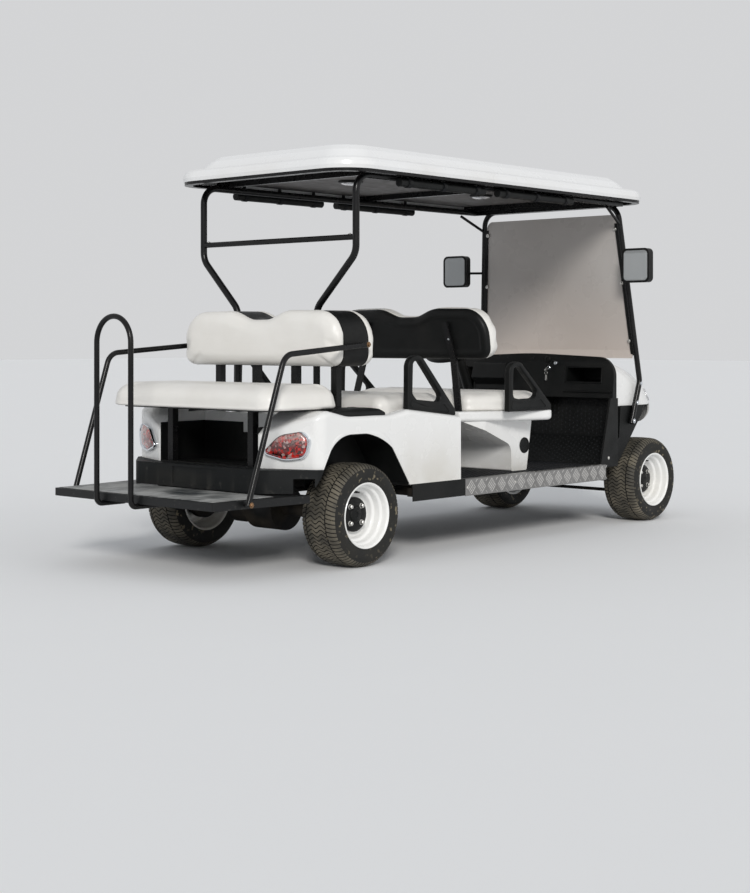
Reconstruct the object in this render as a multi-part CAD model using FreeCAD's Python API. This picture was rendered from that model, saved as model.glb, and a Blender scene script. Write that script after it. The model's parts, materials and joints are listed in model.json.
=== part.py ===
import FreeCAD, Part
import math
import os

from FreeCAD import Vector

os.makedirs("parts", exist_ok=True)

# Golf cart with two forward benches and a rear-facing bench, millimetres.
# X points forward, Y to the cart's left, Z up. The origin is on the ground under the middle.

# Overall
half_length = 1855

# Running gear
wheelbase = 2420
rear_axle_x = -985
front_axle_x = rear_axle_x + wheelbase
tyre_diameter = 460
tyre_width = 205
tyre_shoulder = 32
rim_diameter = 289
rim_width = 190
rear_track = 1044
front_track = 970
axle_z = tyre_diameter / 2
kingpin_offset = 120
kingpin_y = front_track / 2 - kingpin_offset
kingpin_radius = 9
running_fit = 0.05
stub_radius = 14
tie_ball = (front_axle_x - 110, kingpin_y)
seat_gap = 0.2

# Frame
rail_y = 230
rail_width = 50
rail_height = 70
rail_low_z = 255
rail_high_z = 340
front_rail_z = rail_high_z - 30
rail_rear_x = -1440
rail_front_x = half_length - 155
kick_rear_x = -620
kick_front_x = 1130
kick_run = 90
floor_bottom_z = 325
floor_thickness = 13
floor_top_z = floor_bottom_z + floor_thickness
beam_size = 40

# Body
body_half = 600
sill_sheet = 3
body_wall = 8
body_front_x = -300
footwell_front_x = 950
sill_rear_x = -265
sill_front_x = 930
sill_bottom_z = 262
sill_top_z = 342
rear_corner_x = -1366
rear_corner_y = 338
rear_side_x = -1262
# Rear wheel arch from the side: distance from the axle, height, bend radius
arch_points = [(-338, 300, 0), (-175, 592, 90), (145, 592, 120), (345, 300, 0)]
liner_gap = 0.3
liner_wall = 4
tyre_room = 28.5
liner_inner = rear_track / 2 - tyre_width / 2 - tyre_room
beyond = body_half + 100
bumper_bottom_z = 345
bumper_top_z = 447
bumper_rear_x = -1450
bumper_corner_y = 402
well_half = liner_inner - 66
well_front_x = -1090

# Rear step and its rails
step_rear_x = 40 - half_length
step_top_z = rail_high_z
step_plate = 4
step_frame = 30
hoop_tube = 12
arm_tube = 12.5

# Seats
deck_z = 645
deck_half = 548
rear_deck_z = 668
middle_seat_rear_x = -785
middle_seat_front_x = -285
board_thickness = 10
cushion_thickness = 90
bench_half = 525
hinge_x = middle_seat_front_x - 5
hinge_y = 200
hinge_half = 45
hinge_radius = 5
pin_radius = 2.5
lug_width = 8
# Side panel's shoulder, x and z of its high and its low end
shoulder_high = (-673, 689)
shoulder_low = (body_front_x + 5, 645.5)
front_seat_rear_x = -15
front_seat_front_x = 485
pod_top_z = 650
back_half = 518
back_height = 262
back_dip = 44
strut_back_z = 884
front_back_z = 904
bench_top_z = 704
bench_board = 6
strut_x = -934
strut_radius = 16
shell_gap = 34
front_back_x = 20
front_back_lean = 8

# Roof
roof_rear_x = -1085
roof_front_x = 1395
roof_half = 600
roof_rim_z = 1770
liner_z = 1790
rail_tube_z = 1752
rail_tube_y = 507
hoop_radius = 15
hoop_top_x = 1250
hoop_top_y = 462
hoop_knee = (1338, 550, 776)
hoop_foot = (1253, 550, 546)
sheet_low_z = 905
sheet_high_z = 1690

# Front body
cowl_bottom_z = 645
cowl_rear_x = 1096
nose_rear_x = 1745
# Cowl from above: height, half width, x where the side turns in, nose x, half width there, both bend radii
cowl_levels = [
    (520, 526, 1314, 1800, 215, 300, 150),
    (cowl_bottom_z, 526, 1465, 1822, 305, 300, 180),
    (710, 526, 1420, 1810, 285, 300, 180),
    (777, 521, 1345, 1715, 290, 260, 180),
    (838, 500, 1245, 1510, 335, 200, 140),
    (868, 462, 1200, 1330, 385, 120, 80),
    (882, 415, 1140, 1190, 385, 60, 40),
]
cowl_half = cowl_levels[1][1]
dash_low_z = 690
dash_top_z = 924
dash_rear_x = 1058
cheek_half = 557.8
cheek_wall = 12
fender_half = hoop_foot[1] - hoop_radius - seat_gap
housing_half = 255
lens_thickness = 6

# Steering
wheel_centre = (745, 270, 960)
column_foot = (1000, 270, 402)
steering_wheel_radius = 168
steering_rim_radius = 13


# General shapes

def spot(plane, a, b, c):
    if plane == "XZ":
        return Vector(a, c, b)
    if plane == "XY":
        return Vector(a, b, c)
    return Vector(c, a, b)


def path_edges(points, closed):
    """Lines through points, with a tangent arc at each point that has a radius."""
    count = len(points)
    entries = []
    for i, (point, radius) in enumerate(points):
        if radius and (closed or 0 < i < count - 1):
            before = (points[i - 1][0] - point).normalize()
            after = (points[(i + 1) % count][0] - point).normalize()
            half = before.getAngle(after) / 2
            run = radius / math.tan(half)
            inward = (before + after).normalize()
            middle = point + inward * (radius / math.sin(half) - radius)
            entries.append((point + before * run, middle, point + after * run))
        else:
            entries.append((point, None, point))
    edges = []
    for i, (start, middle, end) in enumerate(entries):
        if middle is not None:
            edges.append(Part.Arc(start, middle, end).toShape())
        if closed or i < count - 1:
            following = entries[(i + 1) % count][0]
            if end.distanceToPoint(following) > 0.001:
                edges.append(Part.LineSegment(end, following).toShape())
    return edges


def prism(points, plane, low, high):
    """Outline of (a, b) or (a, b, corner radius), extruded from low to high."""
    corners = [(spot(plane, p[0], p[1], low), p[2] if len(p) > 2 else 0) for p in points]
    face = Part.Face(Part.Wire(path_edges(corners, True)))
    return face.extrude(spot(plane, 0, 0, high - low))


def even(half):
    """Closed outline from its right half, (a, b, ...) points with b below 0, mirrored to the left."""
    return half + [(a, -b, *rest) for a, b, *rest in reversed(half)]


def grown(points, grow):
    """Convex outline of (a, b, corner radius) with every side moved outwards by grow."""
    count = len(points)
    moved = []
    for i, (a, b, radius) in enumerate(points):
        corner = Vector(a, b, 0)
        before = (Vector(*points[i - 1][:2], 0) - corner).normalize()
        after = (Vector(*points[(i + 1) % count][:2], 0) - corner).normalize()
        half = before.getAngle(after) / 2
        corner = corner - (before + after).normalize() * (grow / math.sin(half))
        moved.append((corner.x, corner.y, radius + grow if radius else 0))
    return moved


def block(x0, x1, y0, y1, z0, z1):
    return Part.makeBox(x1 - x0, y1 - y0, z1 - z0, Vector(x0, y0, z0))


def rod(start, end, radius):
    start = Vector(*start)
    along = Vector(*end) - start
    return Part.makeCylinder(radius, along.Length, start, along)


def tube(points, radius):
    """Round bar along (x, y, z, bend radius) points."""
    corners = [(Vector(*p[:3]), p[3]) for p in points]
    path = Part.Wire(path_edges(corners, False))
    start = corners[0][0]
    ring = Part.Wire(Part.Circle(start, corners[1][0] - start, radius).toShape())
    return path.makePipeShell([ring], True, False)


def join(shapes):
    return shapes[0].fuse(shapes[1:]).removeSplitter()


def flip(shape):
    return shape.mirror(Vector(0, 0, 0), Vector(0, 1, 0))


def both(shape):
    return [shape, flip(shape)]


def ring(radii_heights, centre, axis):
    """Solid turned about axis from a closed outline of (radius, height) points."""
    corners = [Vector(r, 0, h) for r, h in radii_heights]
    face = Part.Face(Part.makePolygon(corners + corners[:1]))
    turned = face.revolve(Vector(0, 0, 0), Vector(0, 0, 1), 360)
    turned.Placement = FreeCAD.Placement(Vector(*centre), FreeCAD.Rotation(Vector(0, 0, 1), Vector(*axis)))
    return turned


def rounded_box(x0, x1, half, z0, z1, corner, edge):
    """Cushion: a box with rounded plan corners and a softened upper edge."""
    plan = even([(x0, -half, corner), (x1, -half, corner)])
    solid = prism(plan, "XY", z0, z1)
    top = [e for e in solid.Edges if all(abs(v.Z - z1) < 0.01 for v in e.Vertexes)]
    return solid.makeFillet(edge, top)


def save(name, shapes):
    shape = shapes[0] if len(shapes) == 1 else Part.makeCompound(shapes)
    shape.exportStep("parts/" + name + ".step")


# Chassis

def chassis_frame():
    rail_mid_z = rail_low_z + rail_height
    high_top = rail_high_z + rail_height
    outline = [
        (rail_rear_x, rail_high_z), (kick_rear_x - kick_run, rail_high_z), (kick_rear_x, rail_low_z),
        (kick_front_x - kick_run, rail_low_z), (kick_front_x, front_rail_z),
        (rail_front_x, front_rail_z), (rail_front_x, front_rail_z + rail_height),
        (kick_front_x - 20, front_rail_z + rail_height), (kick_front_x - kick_run - 20, rail_mid_z),
        (kick_rear_x + 20, rail_mid_z), (kick_rear_x - kick_run + 20, high_top), (rail_rear_x, high_top)]
    pieces = []
    for side in (-1, 1):
        middle = side * rail_y
        pieces.append(prism(outline, "XZ", middle - rail_width / 2, middle + rail_width / 2))
    beam_low = floor_bottom_z - beam_size
    beam_outer = body_half - sill_sheet
    # Cross tubes between the rails: x, underside
    for x, z in ((-1400, 350), (-1120, 350), (-660, 275), (-330, 275), (100, 275), (540, 275), (940, 275),
                 (1180, 320), (1660, 320)):
        pieces.append(block(x, x + beam_size, -rail_y, rail_y, z, z + beam_size))
    # Outriggers out to the side beams, and the side beams under the sills
    for side in (-1, 1):
        inner = side * rail_y
        outer = side * (beam_outer - beam_size / 2)
        for x in (-600, -200, 200, 560, 880):
            pieces.append(block(x, x + beam_size, min(inner, outer), max(inner, outer), beam_low,
                                floor_bottom_z))
        near, far = sorted((side * beam_outer, side * (beam_outer - beam_size)))
        pieces.append(block(-640, sill_front_x, near, far, beam_low, floor_bottom_z))
    return [join(pieces)]


def floor_pan():
    half = body_half - sill_sheet
    return [block(body_front_x - 30, sill_front_x, -half, half, floor_bottom_z, floor_top_z)]


def sills():
    low, high = sill_bottom_z, sill_top_z
    inner = body_half - sill_sheet
    outline = [(inner, low), (body_half, low), (body_half, high), (body_half - 40, high),
               (body_half - 40, floor_top_z), (inner, floor_top_z)]
    return both(prism(outline, "YZ", sill_rear_x, sill_front_x))


def rockers():
    inner = body_half - sill_sheet
    foot_x = rear_axle_x + arch_points[-1][0]
    outline = [(foot_x - 10, 265), (sill_rear_x, 265), (sill_rear_x, bumper_bottom_z),
               (foot_x - 14, bumper_bottom_z)]
    return both(prism(outline, "XZ", inner, body_half))


# Rear body

def rear_plan(inset):
    half = body_half - inset
    return even([(body_front_x - inset, -half), (rear_side_x + inset * 0.7, -half, 60 - inset),
                 (rear_corner_x + inset, -rear_corner_y)])


def rear_profile(low):
    # Top edge of the side panel: x, z, bend radius
    top = [(rear_corner_x - 20, 575), (-1300, 655, 120), (-1215, 703, 90), (-1080, 672, 200),
           (-800, 668, 300),
           (*shoulder_high, 80), shoulder_low]
    return top + [(shoulder_low[0], low), (rear_corner_x - 20, low)]


def arch_form(grow, side, inner, outer):
    outline = [(rear_axle_x + x, z, radius) for x, z, radius in arch_points]
    near, far = sorted((side * inner, side * outer))
    return prism(grown(outline, grow), "XZ", near, far)


def rear_body():
    low = bumper_bottom_z
    outer = prism(rear_plan(0), "XY", low, 760).common(prism(rear_profile(low - 1), "XZ", -beyond, beyond))
    edges = []
    for edge in outer.Edges:
        middle = edge.valueAt((edge.FirstParameter + edge.LastParameter) / 2)
        if abs(abs(middle.y) - body_half) < 0.5 and middle.z > 600:
            edges.append(edge)
    outer = outer.makeFillet(24, edges)
    front_recess = block(middle_seat_rear_x - 20, body_front_x + 10, -deck_half, deck_half, deck_z, 800)
    recess_half = body_half - 12
    rear_recess = block(-1195, middle_seat_rear_x - 20, -recess_half, recess_half, rear_deck_z, 800)
    outer = outer.cut([front_recess, rear_recess])
    cavity = prism(rear_plan(body_wall), "XY", low - 10, 760)
    inner_profile = [(rear_corner_x - 20, 575 - body_wall), (-1300, 640), (-1200, 659),
                     (body_front_x, deck_z - body_wall),
                     (body_front_x, low - 10), (rear_corner_x - 20, low - 10)]
    cavity = cavity.common(prism(inner_profile, "XZ", -beyond, beyond))
    shell = outer.cut(cavity)
    # Walls of the rear well, then its opening
    well_box = block(rear_corner_x, well_front_x + body_wall, -well_half - body_wall, well_half + body_wall,
                     bumper_top_z, 720)
    shell = shell.fuse(well_box.common(outer))
    shell = shell.cut(block(rear_corner_x - 30, well_front_x, -well_half, well_half, low - 5, 760))
    # Below the bumper line behind the wheels, and the wheel arches
    shell = shell.cut(block(rear_corner_x - 30, -1150, -beyond, beyond, low - 5, bumper_top_z))
    for side in (-1, 1):
        shell = shell.cut(arch_form(0, side, liner_inner + liner_wall, beyond))
    # Battery bay under the middle bench, and room for the frame below
    shell = shell.cut(block(-750, -340, -400, 400, deck_z - 20, deck_z + 1))
    shell = shell.cut(block(-1160, body_front_x + 5, -body_half + body_wall, body_half - body_wall, low - 5,
                            low + 1))
    # Hinge pins of the seat lid, each between two lugs
    lugs = []
    for side in (-1, 1):
        for y in (hinge_y - hinge_half - lug_width, hinge_y + hinge_half + 0.5):
            near, far = sorted((side * y, side * (y + lug_width - 0.5)))
            lugs.append(rod((hinge_x, near, deck_z), (hinge_x, far, deck_z), hinge_radius))
            lugs.append(block(body_front_x - 2, hinge_x, near, far, deck_z - hinge_radius, deck_z))
        near, far = side * (hinge_y - hinge_half - 4), side * (hinge_y + hinge_half + 4)
        lugs.append(rod((hinge_x, near, deck_z), (hinge_x, far, deck_z), pin_radius))
    return [join([shell] + lugs)]


def rear_liners():
    pieces = []
    low = bumper_bottom_z + 5
    for side in (-1, 1):
        drum = arch_form(-liner_gap, side, liner_inner, body_half - 1)
        space = arch_form(-liner_gap - liner_wall, side, liner_inner + liner_wall, body_half)
        arch = drum.cut(space)
        arch = arch.cut(block(-1400, -500, -beyond, beyond, 0, low))
        arch = arch.cut(block(-1400, -1150, -beyond, beyond, 0, bumper_top_z + 1))
        window = rod((rear_axle_x, 0, axle_z), (rear_axle_x, side * (liner_inner + 29), axle_z), 125)
        pieces.append(arch.cut(window))
    floor_z = bumper_top_z
    tub = block(rear_corner_x, well_front_x - seat_gap, -well_half + seat_gap, well_half - seat_gap, floor_z,
                625)
    tub = tub.cut(block(rear_corner_x - 10, well_front_x - liner_wall, -well_half + liner_wall,
                        well_half - liner_wall,
                        floor_z + liner_wall, 700))
    tub = tub.cut(block(well_front_x - 20, well_front_x + 5, -well_half + 40, 60, 578, 700))
    pieces.append(tub)
    return pieces


def bumper_plan(inset):
    side = inset - body_half - 4
    return even([(-1240, side), (-1268, side, 40), (bumper_rear_x + inset, -bumper_corner_y, 60)])


def rear_bumper():
    outer = prism(bumper_plan(0), "XY", bumper_bottom_z, bumper_top_z)
    hollow = prism(bumper_plan(body_wall), "XY", bumper_bottom_z - 1, bumper_top_z - body_wall)
    end_half = body_half - 10
    shell = outer.cut(hollow.fuse(block(-1260, -1200, -end_half, end_half, bumper_bottom_z - 1,
                                        bumper_top_z + 1)))
    # Blank recess for a plate
    shell = shell.cut(block(bumper_rear_x - 1, bumper_rear_x + 4, -145, 145, 360, 436))
    for side in (-1, 1):
        shell = shell.cut(arch_form(0, side, liner_inner - 11, beyond))
    # Room for the rails and the well's front
    room_half = body_half - 12
    shell = shell.cut(block(-1345, -1200, -room_half, room_half, bumper_bottom_z - 1,
                            bumper_top_z - body_wall - 30))
    shell = shell.cut(block(-1360, -1150, -well_half - 5, well_half + 5, 300, bumper_top_z - body_wall))
    return [shell.removeSplitter()]


def lamp_outline(scale):
    # Teardrop lying on its side: u towards the cart's side, w up, corner radius
    points = [(-122, -22, 14), (-20, 58, 90), (72, 66, 40), (112, 26, 42), (96, -46, 46), (0, -62, 120)]
    return [(u * scale, w * scale, r * scale) for u, w, r in points]


def tail_lamps():
    lamp = prism(lamp_outline(1), "XZ", 0, 14)
    along = math.degrees(math.atan2(body_half - rear_corner_y, rear_side_x - rear_corner_x))
    lamp.rotate(Vector(0, 0, 0), Vector(0, 0, 1), along)
    centre = 0.47
    lamp.translate(Vector(rear_corner_x + centre * (rear_side_x - rear_corner_x),
                          rear_corner_y + centre * (body_half - rear_corner_y), 545))
    return both(lamp)


def tray_caps():
    plan = [(-1180, 405, 40), (-830, 405, 60), (-812, 500, 60), (-812, 585, 20), (-1180, 585, 20)]
    return both(prism(plan, "XY", rear_deck_z, rear_deck_z + 24))


def battery_pack():
    return [block(-596, body_front_x - 30, -350, 350, floor_bottom_z, 615)]


# Rear step, hoop and armrests

def step_plan(inset):
    return even([(step_rear_x + inset, -530 + inset, 12), (-1615, -547 + inset),
                 (-1300 - inset, -575 + inset)])


def rear_step():
    frame_low = step_top_z - step_plate - step_frame
    plate = prism(step_plan(0), "XY", step_top_z - step_plate, step_top_z)
    frame = prism(step_plan(0), "XY", frame_low, step_top_z - step_plate)
    frame = frame.cut(prism(step_plan(step_frame), "XY", frame_low - 1, step_top_z))
    bars = [block(step_rear_x + 10, -1310, y - step_frame / 2, y + step_frame / 2, frame_low,
                  step_top_z - step_plate)
            for y in (-rail_y, rail_y)]
    tread = prism(even([(step_rear_x + 12, -510), (bumper_rear_x - 14, -520)]), "XY", step_top_z,
                  step_top_z + 2)
    return [join([plate, frame, tread] + bars)]


def grab_hoop():
    x = -half_length + hoop_tube
    low = step_top_z - step_plate - step_frame - hoop_tube
    left, right, top = 190, -40, 1120 - hoop_tube
    bend = (left - right) / 2 - 1
    inner_x = step_rear_x + 125
    path = [(inner_x, left, low, 0), (x, left, low, 28), (x, left, top, bend), (x, right, top, bend),
            (x, right, low, 28), (inner_x, right, low, 0)]
    return [tube(path, hoop_tube)]


def armrests():
    foot_x = step_rear_x + 151
    arm = tube([(foot_x, 573, 322, 0), (foot_x + 206, 581, 943, 70), (-900, 545, 985, 0)], arm_tube)
    foot = rod((foot_x + 9, 530, 325), (foot_x + 9, 573, 325), 9)
    lug = rod((-912, back_half - 6 + seat_gap, 985), (-912, 545, 985), 8)
    step = prism(step_plan(0), "XY", 300, step_top_z)
    return both(join([arm, foot, lug]).cut(step))


# Seats

def seat_frames():
    """Posts behind the backrests, and the posts and tray under the rear bench."""
    pieces = []
    depth = shell_gap / 2 - seat_gap
    for y in (130, 385):
        pieces += both(block(strut_x - depth, strut_x + depth, y - 17.5, y + 17.5, rear_deck_z, 1080))
    plan = even([(-1470, -480, 40), (-1095, -480, 40)])
    board_low = bench_top_z - bench_board
    posts = [prism(plan, "XY", board_low, bench_top_z)]
    for y in (59 - well_half, well_half - 59):
        posts.append(block(-1358, -1324, y - 17, y + 17, bumper_top_z + liner_wall, board_low))
    pieces.append(join(posts))
    depth = 12
    lean = math.tan(math.radians(front_back_lean))
    set_back = depth / 2 + seat_gap
    for side in (-1, 1):
        foot = Vector(-14, side * 355, pod_top_z)
        knee = Vector(front_back_x - set_back - 4 * lean, side * 303, front_back_z + 4)
        head = Vector(front_back_x - set_back - 190 * lean, side * 262, front_back_z + 190)
        pieces.append(join([slanted_bar(foot, knee, depth, 38), slanted_bar(knee, head, depth, 38)]))
    return pieces


def slanted_bar(foot, head, depth, width):
    """Flat bar with a level foot, from foot to head."""
    corners = [Vector(-depth / 2, -width / 2, 0), Vector(depth / 2, -width / 2, 0),
               Vector(depth / 2, width / 2, 0),
               Vector(-depth / 2, width / 2, 0)]
    low = Part.makePolygon([foot + c for c in corners + corners[:1]])
    return Part.Face(low).extrude(head - foot)


def back_outline(inset):
    half = back_half - inset
    top = back_height - inset
    dip = top - back_dip
    # y, z, bend radius from the top's dip to the lower corner, then the other side
    side = [(74, dip, 190), (178, top, 250), (half, top, 96), (half, inset, 62)]
    return side + [(-y, z, radius) for y, z, radius in reversed(side)]


def backrests():
    """Pads and shells, each standing upright with its joint face at x = 0, then leaned and placed."""
    pads = []
    shells = []
    inner = shell_gap / 2
    # Facing, joint face x and z at the bottom, rearward lean in degrees, depth of the shell, whole depth
    rows = ((-1, strut_x - inner, strut_back_z, 0, 68, 106), (1, strut_x + inner, strut_back_z, 0, 14, 106),
            (1, front_back_x, front_back_z, front_back_lean, 28, 100))
    for facing, x, z, lean, depth, whole in rows:
        shell = prism(back_outline(6), "YZ", 0, depth)
        pad = prism(back_outline(0), "YZ", depth + seat_gap, whole)
        front = [e for e in pad.Edges if all(abs(v.X - whole) < 0.01 for v in e.Vertexes)]
        pad = pad.makeFillet(24, front)
        for shape, group in ((shell, shells), (pad, pads)):
            if facing < 0:
                shape.rotate(Vector(0, 0, 0), Vector(0, 0, 1), 180)
            shape.rotate(Vector(0, 0, 0), Vector(0, 1, 0), -lean)
            shape.translate(Vector(x, 0, z))
            group.append(shape)
    return pads, shells


def seat_lid():
    board = block(middle_seat_rear_x + 10, hinge_x, -bench_half + 10, bench_half - 10, deck_z + seat_gap,
                  deck_z + board_thickness)
    reach = hinge_half + lug_width + 1
    for side in (-1, 1):
        near, far = sorted((side * (hinge_y - reach), side * (hinge_y + reach)))
        board = board.cut(block(hinge_x - 9, hinge_x + 1, near, far, deck_z - 1, deck_z + 20))
        barrel = rod((hinge_x, side * (hinge_y - hinge_half), deck_z),
                     (hinge_x, side * (hinge_y + hinge_half), deck_z),
                     hinge_radius)
        near, far = sorted((side * (hinge_y - hinge_half), side * (hinge_y + hinge_half)))
        leaf = block(hinge_x - 12, hinge_x, near, far, deck_z + 2, deck_z + hinge_radius)
        bore = rod((hinge_x, side * (hinge_y - reach), deck_z), (hinge_x, side * (hinge_y + reach), deck_z),
                   pin_radius + running_fit)
        board = board.fuse(barrel.fuse(leaf).cut(bore))
    return [board.removeSplitter()]


def middle_cushion():
    low = deck_z + board_thickness + seat_gap
    return [rounded_box(middle_seat_rear_x, middle_seat_front_x, bench_half, low, low + cushion_thickness,
                        60, 34)]


def seat_cushions():
    low = bench_top_z + seat_gap
    rear = rounded_box(-1505, -1065, bench_half + 2, low, low + 96, 70, 34)
    low = pod_top_z + seat_gap
    plan = even([(front_seat_rear_x + 20, -385, 60), (180, -500, 200), (front_seat_front_x, -540, 60)])
    front = prism(plan, "XY", low, low + 80)
    top = [e for e in front.Edges if all(abs(v.Z - low - 80) < 0.01 for v in e.Vertexes)]
    return [rear, front.makeFillet(30, top)]


def pod_plan(inset):
    half = body_half - 2 - inset
    waist = body_half - 60 - inset
    rear, nose = -65 + inset, 494 - inset
    return even([(rear, -400 + inset, 20), (250, -waist, 200), (nose - 12, -half, 46), (nose, -400, 90)])


def front_pod():
    flange = prism(pod_plan(0), "XY", 598, pod_top_z)
    lips = [e for e in flange.Edges if all(abs(v.Z - 598) < 0.01 for v in e.Vertexes)]
    flange = flange.makeFillet(20, lips)
    rims = [e for e in flange.Edges if all(abs(v.Z - pod_top_z) < 0.01 for v in e.Vertexes)]
    flange = flange.makeFillet(10, rims)
    profile = [(295, floor_top_z, 10), (425, floor_top_z, 10), (470, 606), (-50, 606), (295, 470, 60)]
    body = prism(profile, "XZ", -450, 450).common(prism(pod_plan(12), "XY", floor_top_z, 606))
    inner = [(295 + body_wall, floor_top_z - 1), (425 - body_wall, floor_top_z - 1), (458, 600), (0, 600),
             (295 + body_wall, 482)]
    cavity = prism(inner, "XZ", -440, 440).common(prism(pod_plan(24), "XY", floor_top_z - 2, 606))
    return [join([flange, body.cut(cavity)])]


def restraint(base):
    """Hip loop in side view, standing on the sloping shoulder line from base[0] to base[1]."""
    (x0, z0), (x1, z1) = base
    slope = (z1 - z0) / (x1 - x0)
    leg = 34
    top = z0 + 246
    outer = [(x0, z0), (x0 + 2, top, 55), (x0 + 92, top, 60), (x1, z1 + 22, 16), (x1, z1)]
    inner = [(x0 + leg + 2, z0 + 62, 18), (x0 + leg + 4, top - leg, 24), (x0 + 80, top - leg, 30),
             (x1 - 96, z1 + 78, 18)]
    far = body_half - 14
    loop = prism(outer, "XZ", far - 35, far)
    return loop.cut(prism(inner, "XZ", far - 46, body_half))


def hip_restraints():
    middle = restraint(((-666, shoulder_z(-666)), (-320, shoulder_z(-320))))
    front = restraint(((100, pod_top_z), (455, pod_top_z)))
    return both(middle) + both(front)


def shoulder_z(x):
    """Height of the straight shoulder between its last two points."""
    (xa, za), (xb, zb) = shoulder_high, shoulder_low
    return za + (x - xa) * (zb - za) / (xb - xa)


# Roof and its frame

def roof_plan(inset, corner):
    x0, x1, half = roof_rear_x + inset, roof_front_x - inset, roof_half - inset
    return even([(x0, -half, corner), (x1, -half, corner)])


def loft_rings(rings):
    wires = []
    for inset, corner, height in rings:
        corners = [(Vector(x, y, roof_rim_z + height), r) for x, y, r in roof_plan(inset, corner)]
        wires.append(Part.Wire(path_edges(corners, True)))
    return Part.makeLoft(wires, True, True)


def roof():
    # Inset, corner radius, height above the rim: outside, then inside
    outside = ((4, 172, 0), (0, 176, 16), (3, 173, 32), (12, 164, 46), (26, 150, 55), (72, 140, 60),
               (104, 134, 98),
               (134, 126, 121), (200, 110, 133), (330, 90, 141))
    inside = ((30, 150, -1), (30, 150, 42), (80, 132, 51), (112, 126, 89), (142, 118, 112), (206, 104, 124),
              (330, 84, 132))
    shell = loft_rings(outside).cut(loft_rings(inside))
    return [shell.removeSplitter()]


def roof_liner():
    return [prism(roof_plan(30 + seat_gap, 150), "XY", liner_z, liner_z + 6)]


def roof_frame():
    pieces = []
    for side in (-1, 1):
        y = side * rail_tube_y
        path = [(strut_x, side * 262, rear_deck_z, 0), (strut_x, side * 262, 1150, 90),
                (strut_x, y, 1397, 90),
                (strut_x, y, rail_tube_z, 80), (hoop_top_x - hoop_radius - 22, y, rail_tube_z, 0)]
        pieces.append(tube(path, strut_radius))
    pieces.append(rod((strut_x, -rail_tube_y, 1469), (strut_x, rail_tube_y, 1469), 13))
    # Slim bars under the ceiling, and the edge rail under the roof's rim
    for x in (-800, 250, 1170):
        pieces.append(block(x, x + 22, -rail_tube_y - 50, rail_tube_y + 50, rail_tube_z + 10, liner_z))
    edge_low, edge_high = rail_tube_z + 4, roof_rim_z - seat_gap
    edge = prism(roof_plan(10, 162), "XY", edge_low, edge_high)
    pieces.append(edge.cut(prism(roof_plan(46, 134), "XY", edge_low - 1, edge_high + 1)))
    front = hoop_top_x - hoop_radius - seat_gap
    pieces.append(block(front - 24, front, -rail_tube_y, rail_tube_y, rail_tube_z - 14, rail_tube_z + 14))
    return [join(pieces)]


def hoop_point(z, side):
    """Point on a front strut's centre line above the knee."""
    share = (z - hoop_knee[2]) / (rail_tube_z - hoop_knee[2])
    return Vector(hoop_knee[0] + share * (hoop_top_x - hoop_knee[0]),
                  side * (hoop_knee[1] + share * (hoop_top_y - hoop_knee[1])), z)


def front_hoop():
    path = []
    for side, order in ((1, 1), (-1, -1)):
        leg = [(hoop_foot[0], side * hoop_foot[1], hoop_foot[2], 0),
               (hoop_knee[0], side * hoop_knee[1], hoop_knee[2], 90),
               (hoop_top_x, side * hoop_top_y, rail_tube_z, 88)]
        path += leg[::order]
    pieces = [tube(path, hoop_radius)]
    # Short braces up to the roof rails
    for side in (-1, 1):
        foot = hoop_point(1640, side)
        pieces.append(rod(tuple(foot), (1080, side * rail_tube_y, rail_tube_z - strut_radius - 9), 8))
    return [join(pieces)]


def panel_normal():
    """Forward normal of the plane through both front struts."""
    up = (hoop_point(rail_tube_z, 0) - hoop_point(hoop_knee[2], 0)).normalize()
    return Vector(up.z, 0, -up.x)


def windshield():
    normal = panel_normal()
    gap = 4
    corners = []
    for side, z in ((1, sheet_low_z), (1, sheet_high_z), (-1, sheet_high_z), (-1, sheet_low_z)):
        corners.append(hoop_point(z, side) - Vector(0, side * (hoop_radius + gap), 0))
    shift = normal * -2.5
    wire = Part.makePolygon([c + shift for c in corners + corners[:1]])
    return [Part.Face(wire).extrude(normal * 5)]


def windshield_channels():
    normal = panel_normal()
    sheet = windshield()[0]
    pieces = []
    for side in (-1, 1):
        points = []
        for z, out in ((920, 0), (1650, 0), (1650, 26), (920, 26)):
            points.append(hoop_point(z, side) - Vector(0, side * (4 + out), 0) - normal * 9)
        strip = Part.Face(Part.makePolygon(points + points[:1])).extrude(normal * 18)
        low, high = hoop_point(880, side), hoop_point(sheet_high_z, side)
        strip = strip.cut(rod(tuple(low), tuple(high), hoop_radius + seat_gap))
        pieces.append(strip.cut(sheet))
    return pieces


def mirrors():
    face = prism([(-85, -92, 26), (85, -92, 26), (85, 92, 26), (-85, 92, 26)], "YZ", 0, 42)
    face.translate(Vector(1172, 629, 1409))
    root_point = hoop_point(1400, 1)
    arm = rod((1200, 620, 1400), tuple(root_point), 7)
    arm = arm.cut(rod(tuple(hoop_point(1300, 1)), tuple(hoop_point(1500, 1)), hoop_radius + seat_gap))
    return both(join([face, arm]))


def curtain_rolls():
    pieces = []
    y, z, radius = 546, 1729, 20
    for x0, x1 in ((-685, -60), (52, 686)):
        roll = [rod((x0, y, z), (x1, y, z), radius)]
        for x in (x0 + 60, (x0 + x1) / 2, x1 - 60):
            roll.append(block(x - 10, x + 10, y - 1.5, y + 1.5, z, liner_z - seat_gap))
        pieces += both(join(roll))
    return pieces


# Front body

def cowl_outline(level, inset, rear):
    height, half, side_x, nose_x, nose_half, side_radius, nose_radius = level
    half, nose_x, nose_half = half - inset, nose_x - inset, nose_half - inset * 0.55
    return even([(rear, -half, 0), (side_x, -half, side_radius), (nose_x, -nose_half, nose_radius)])


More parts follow.
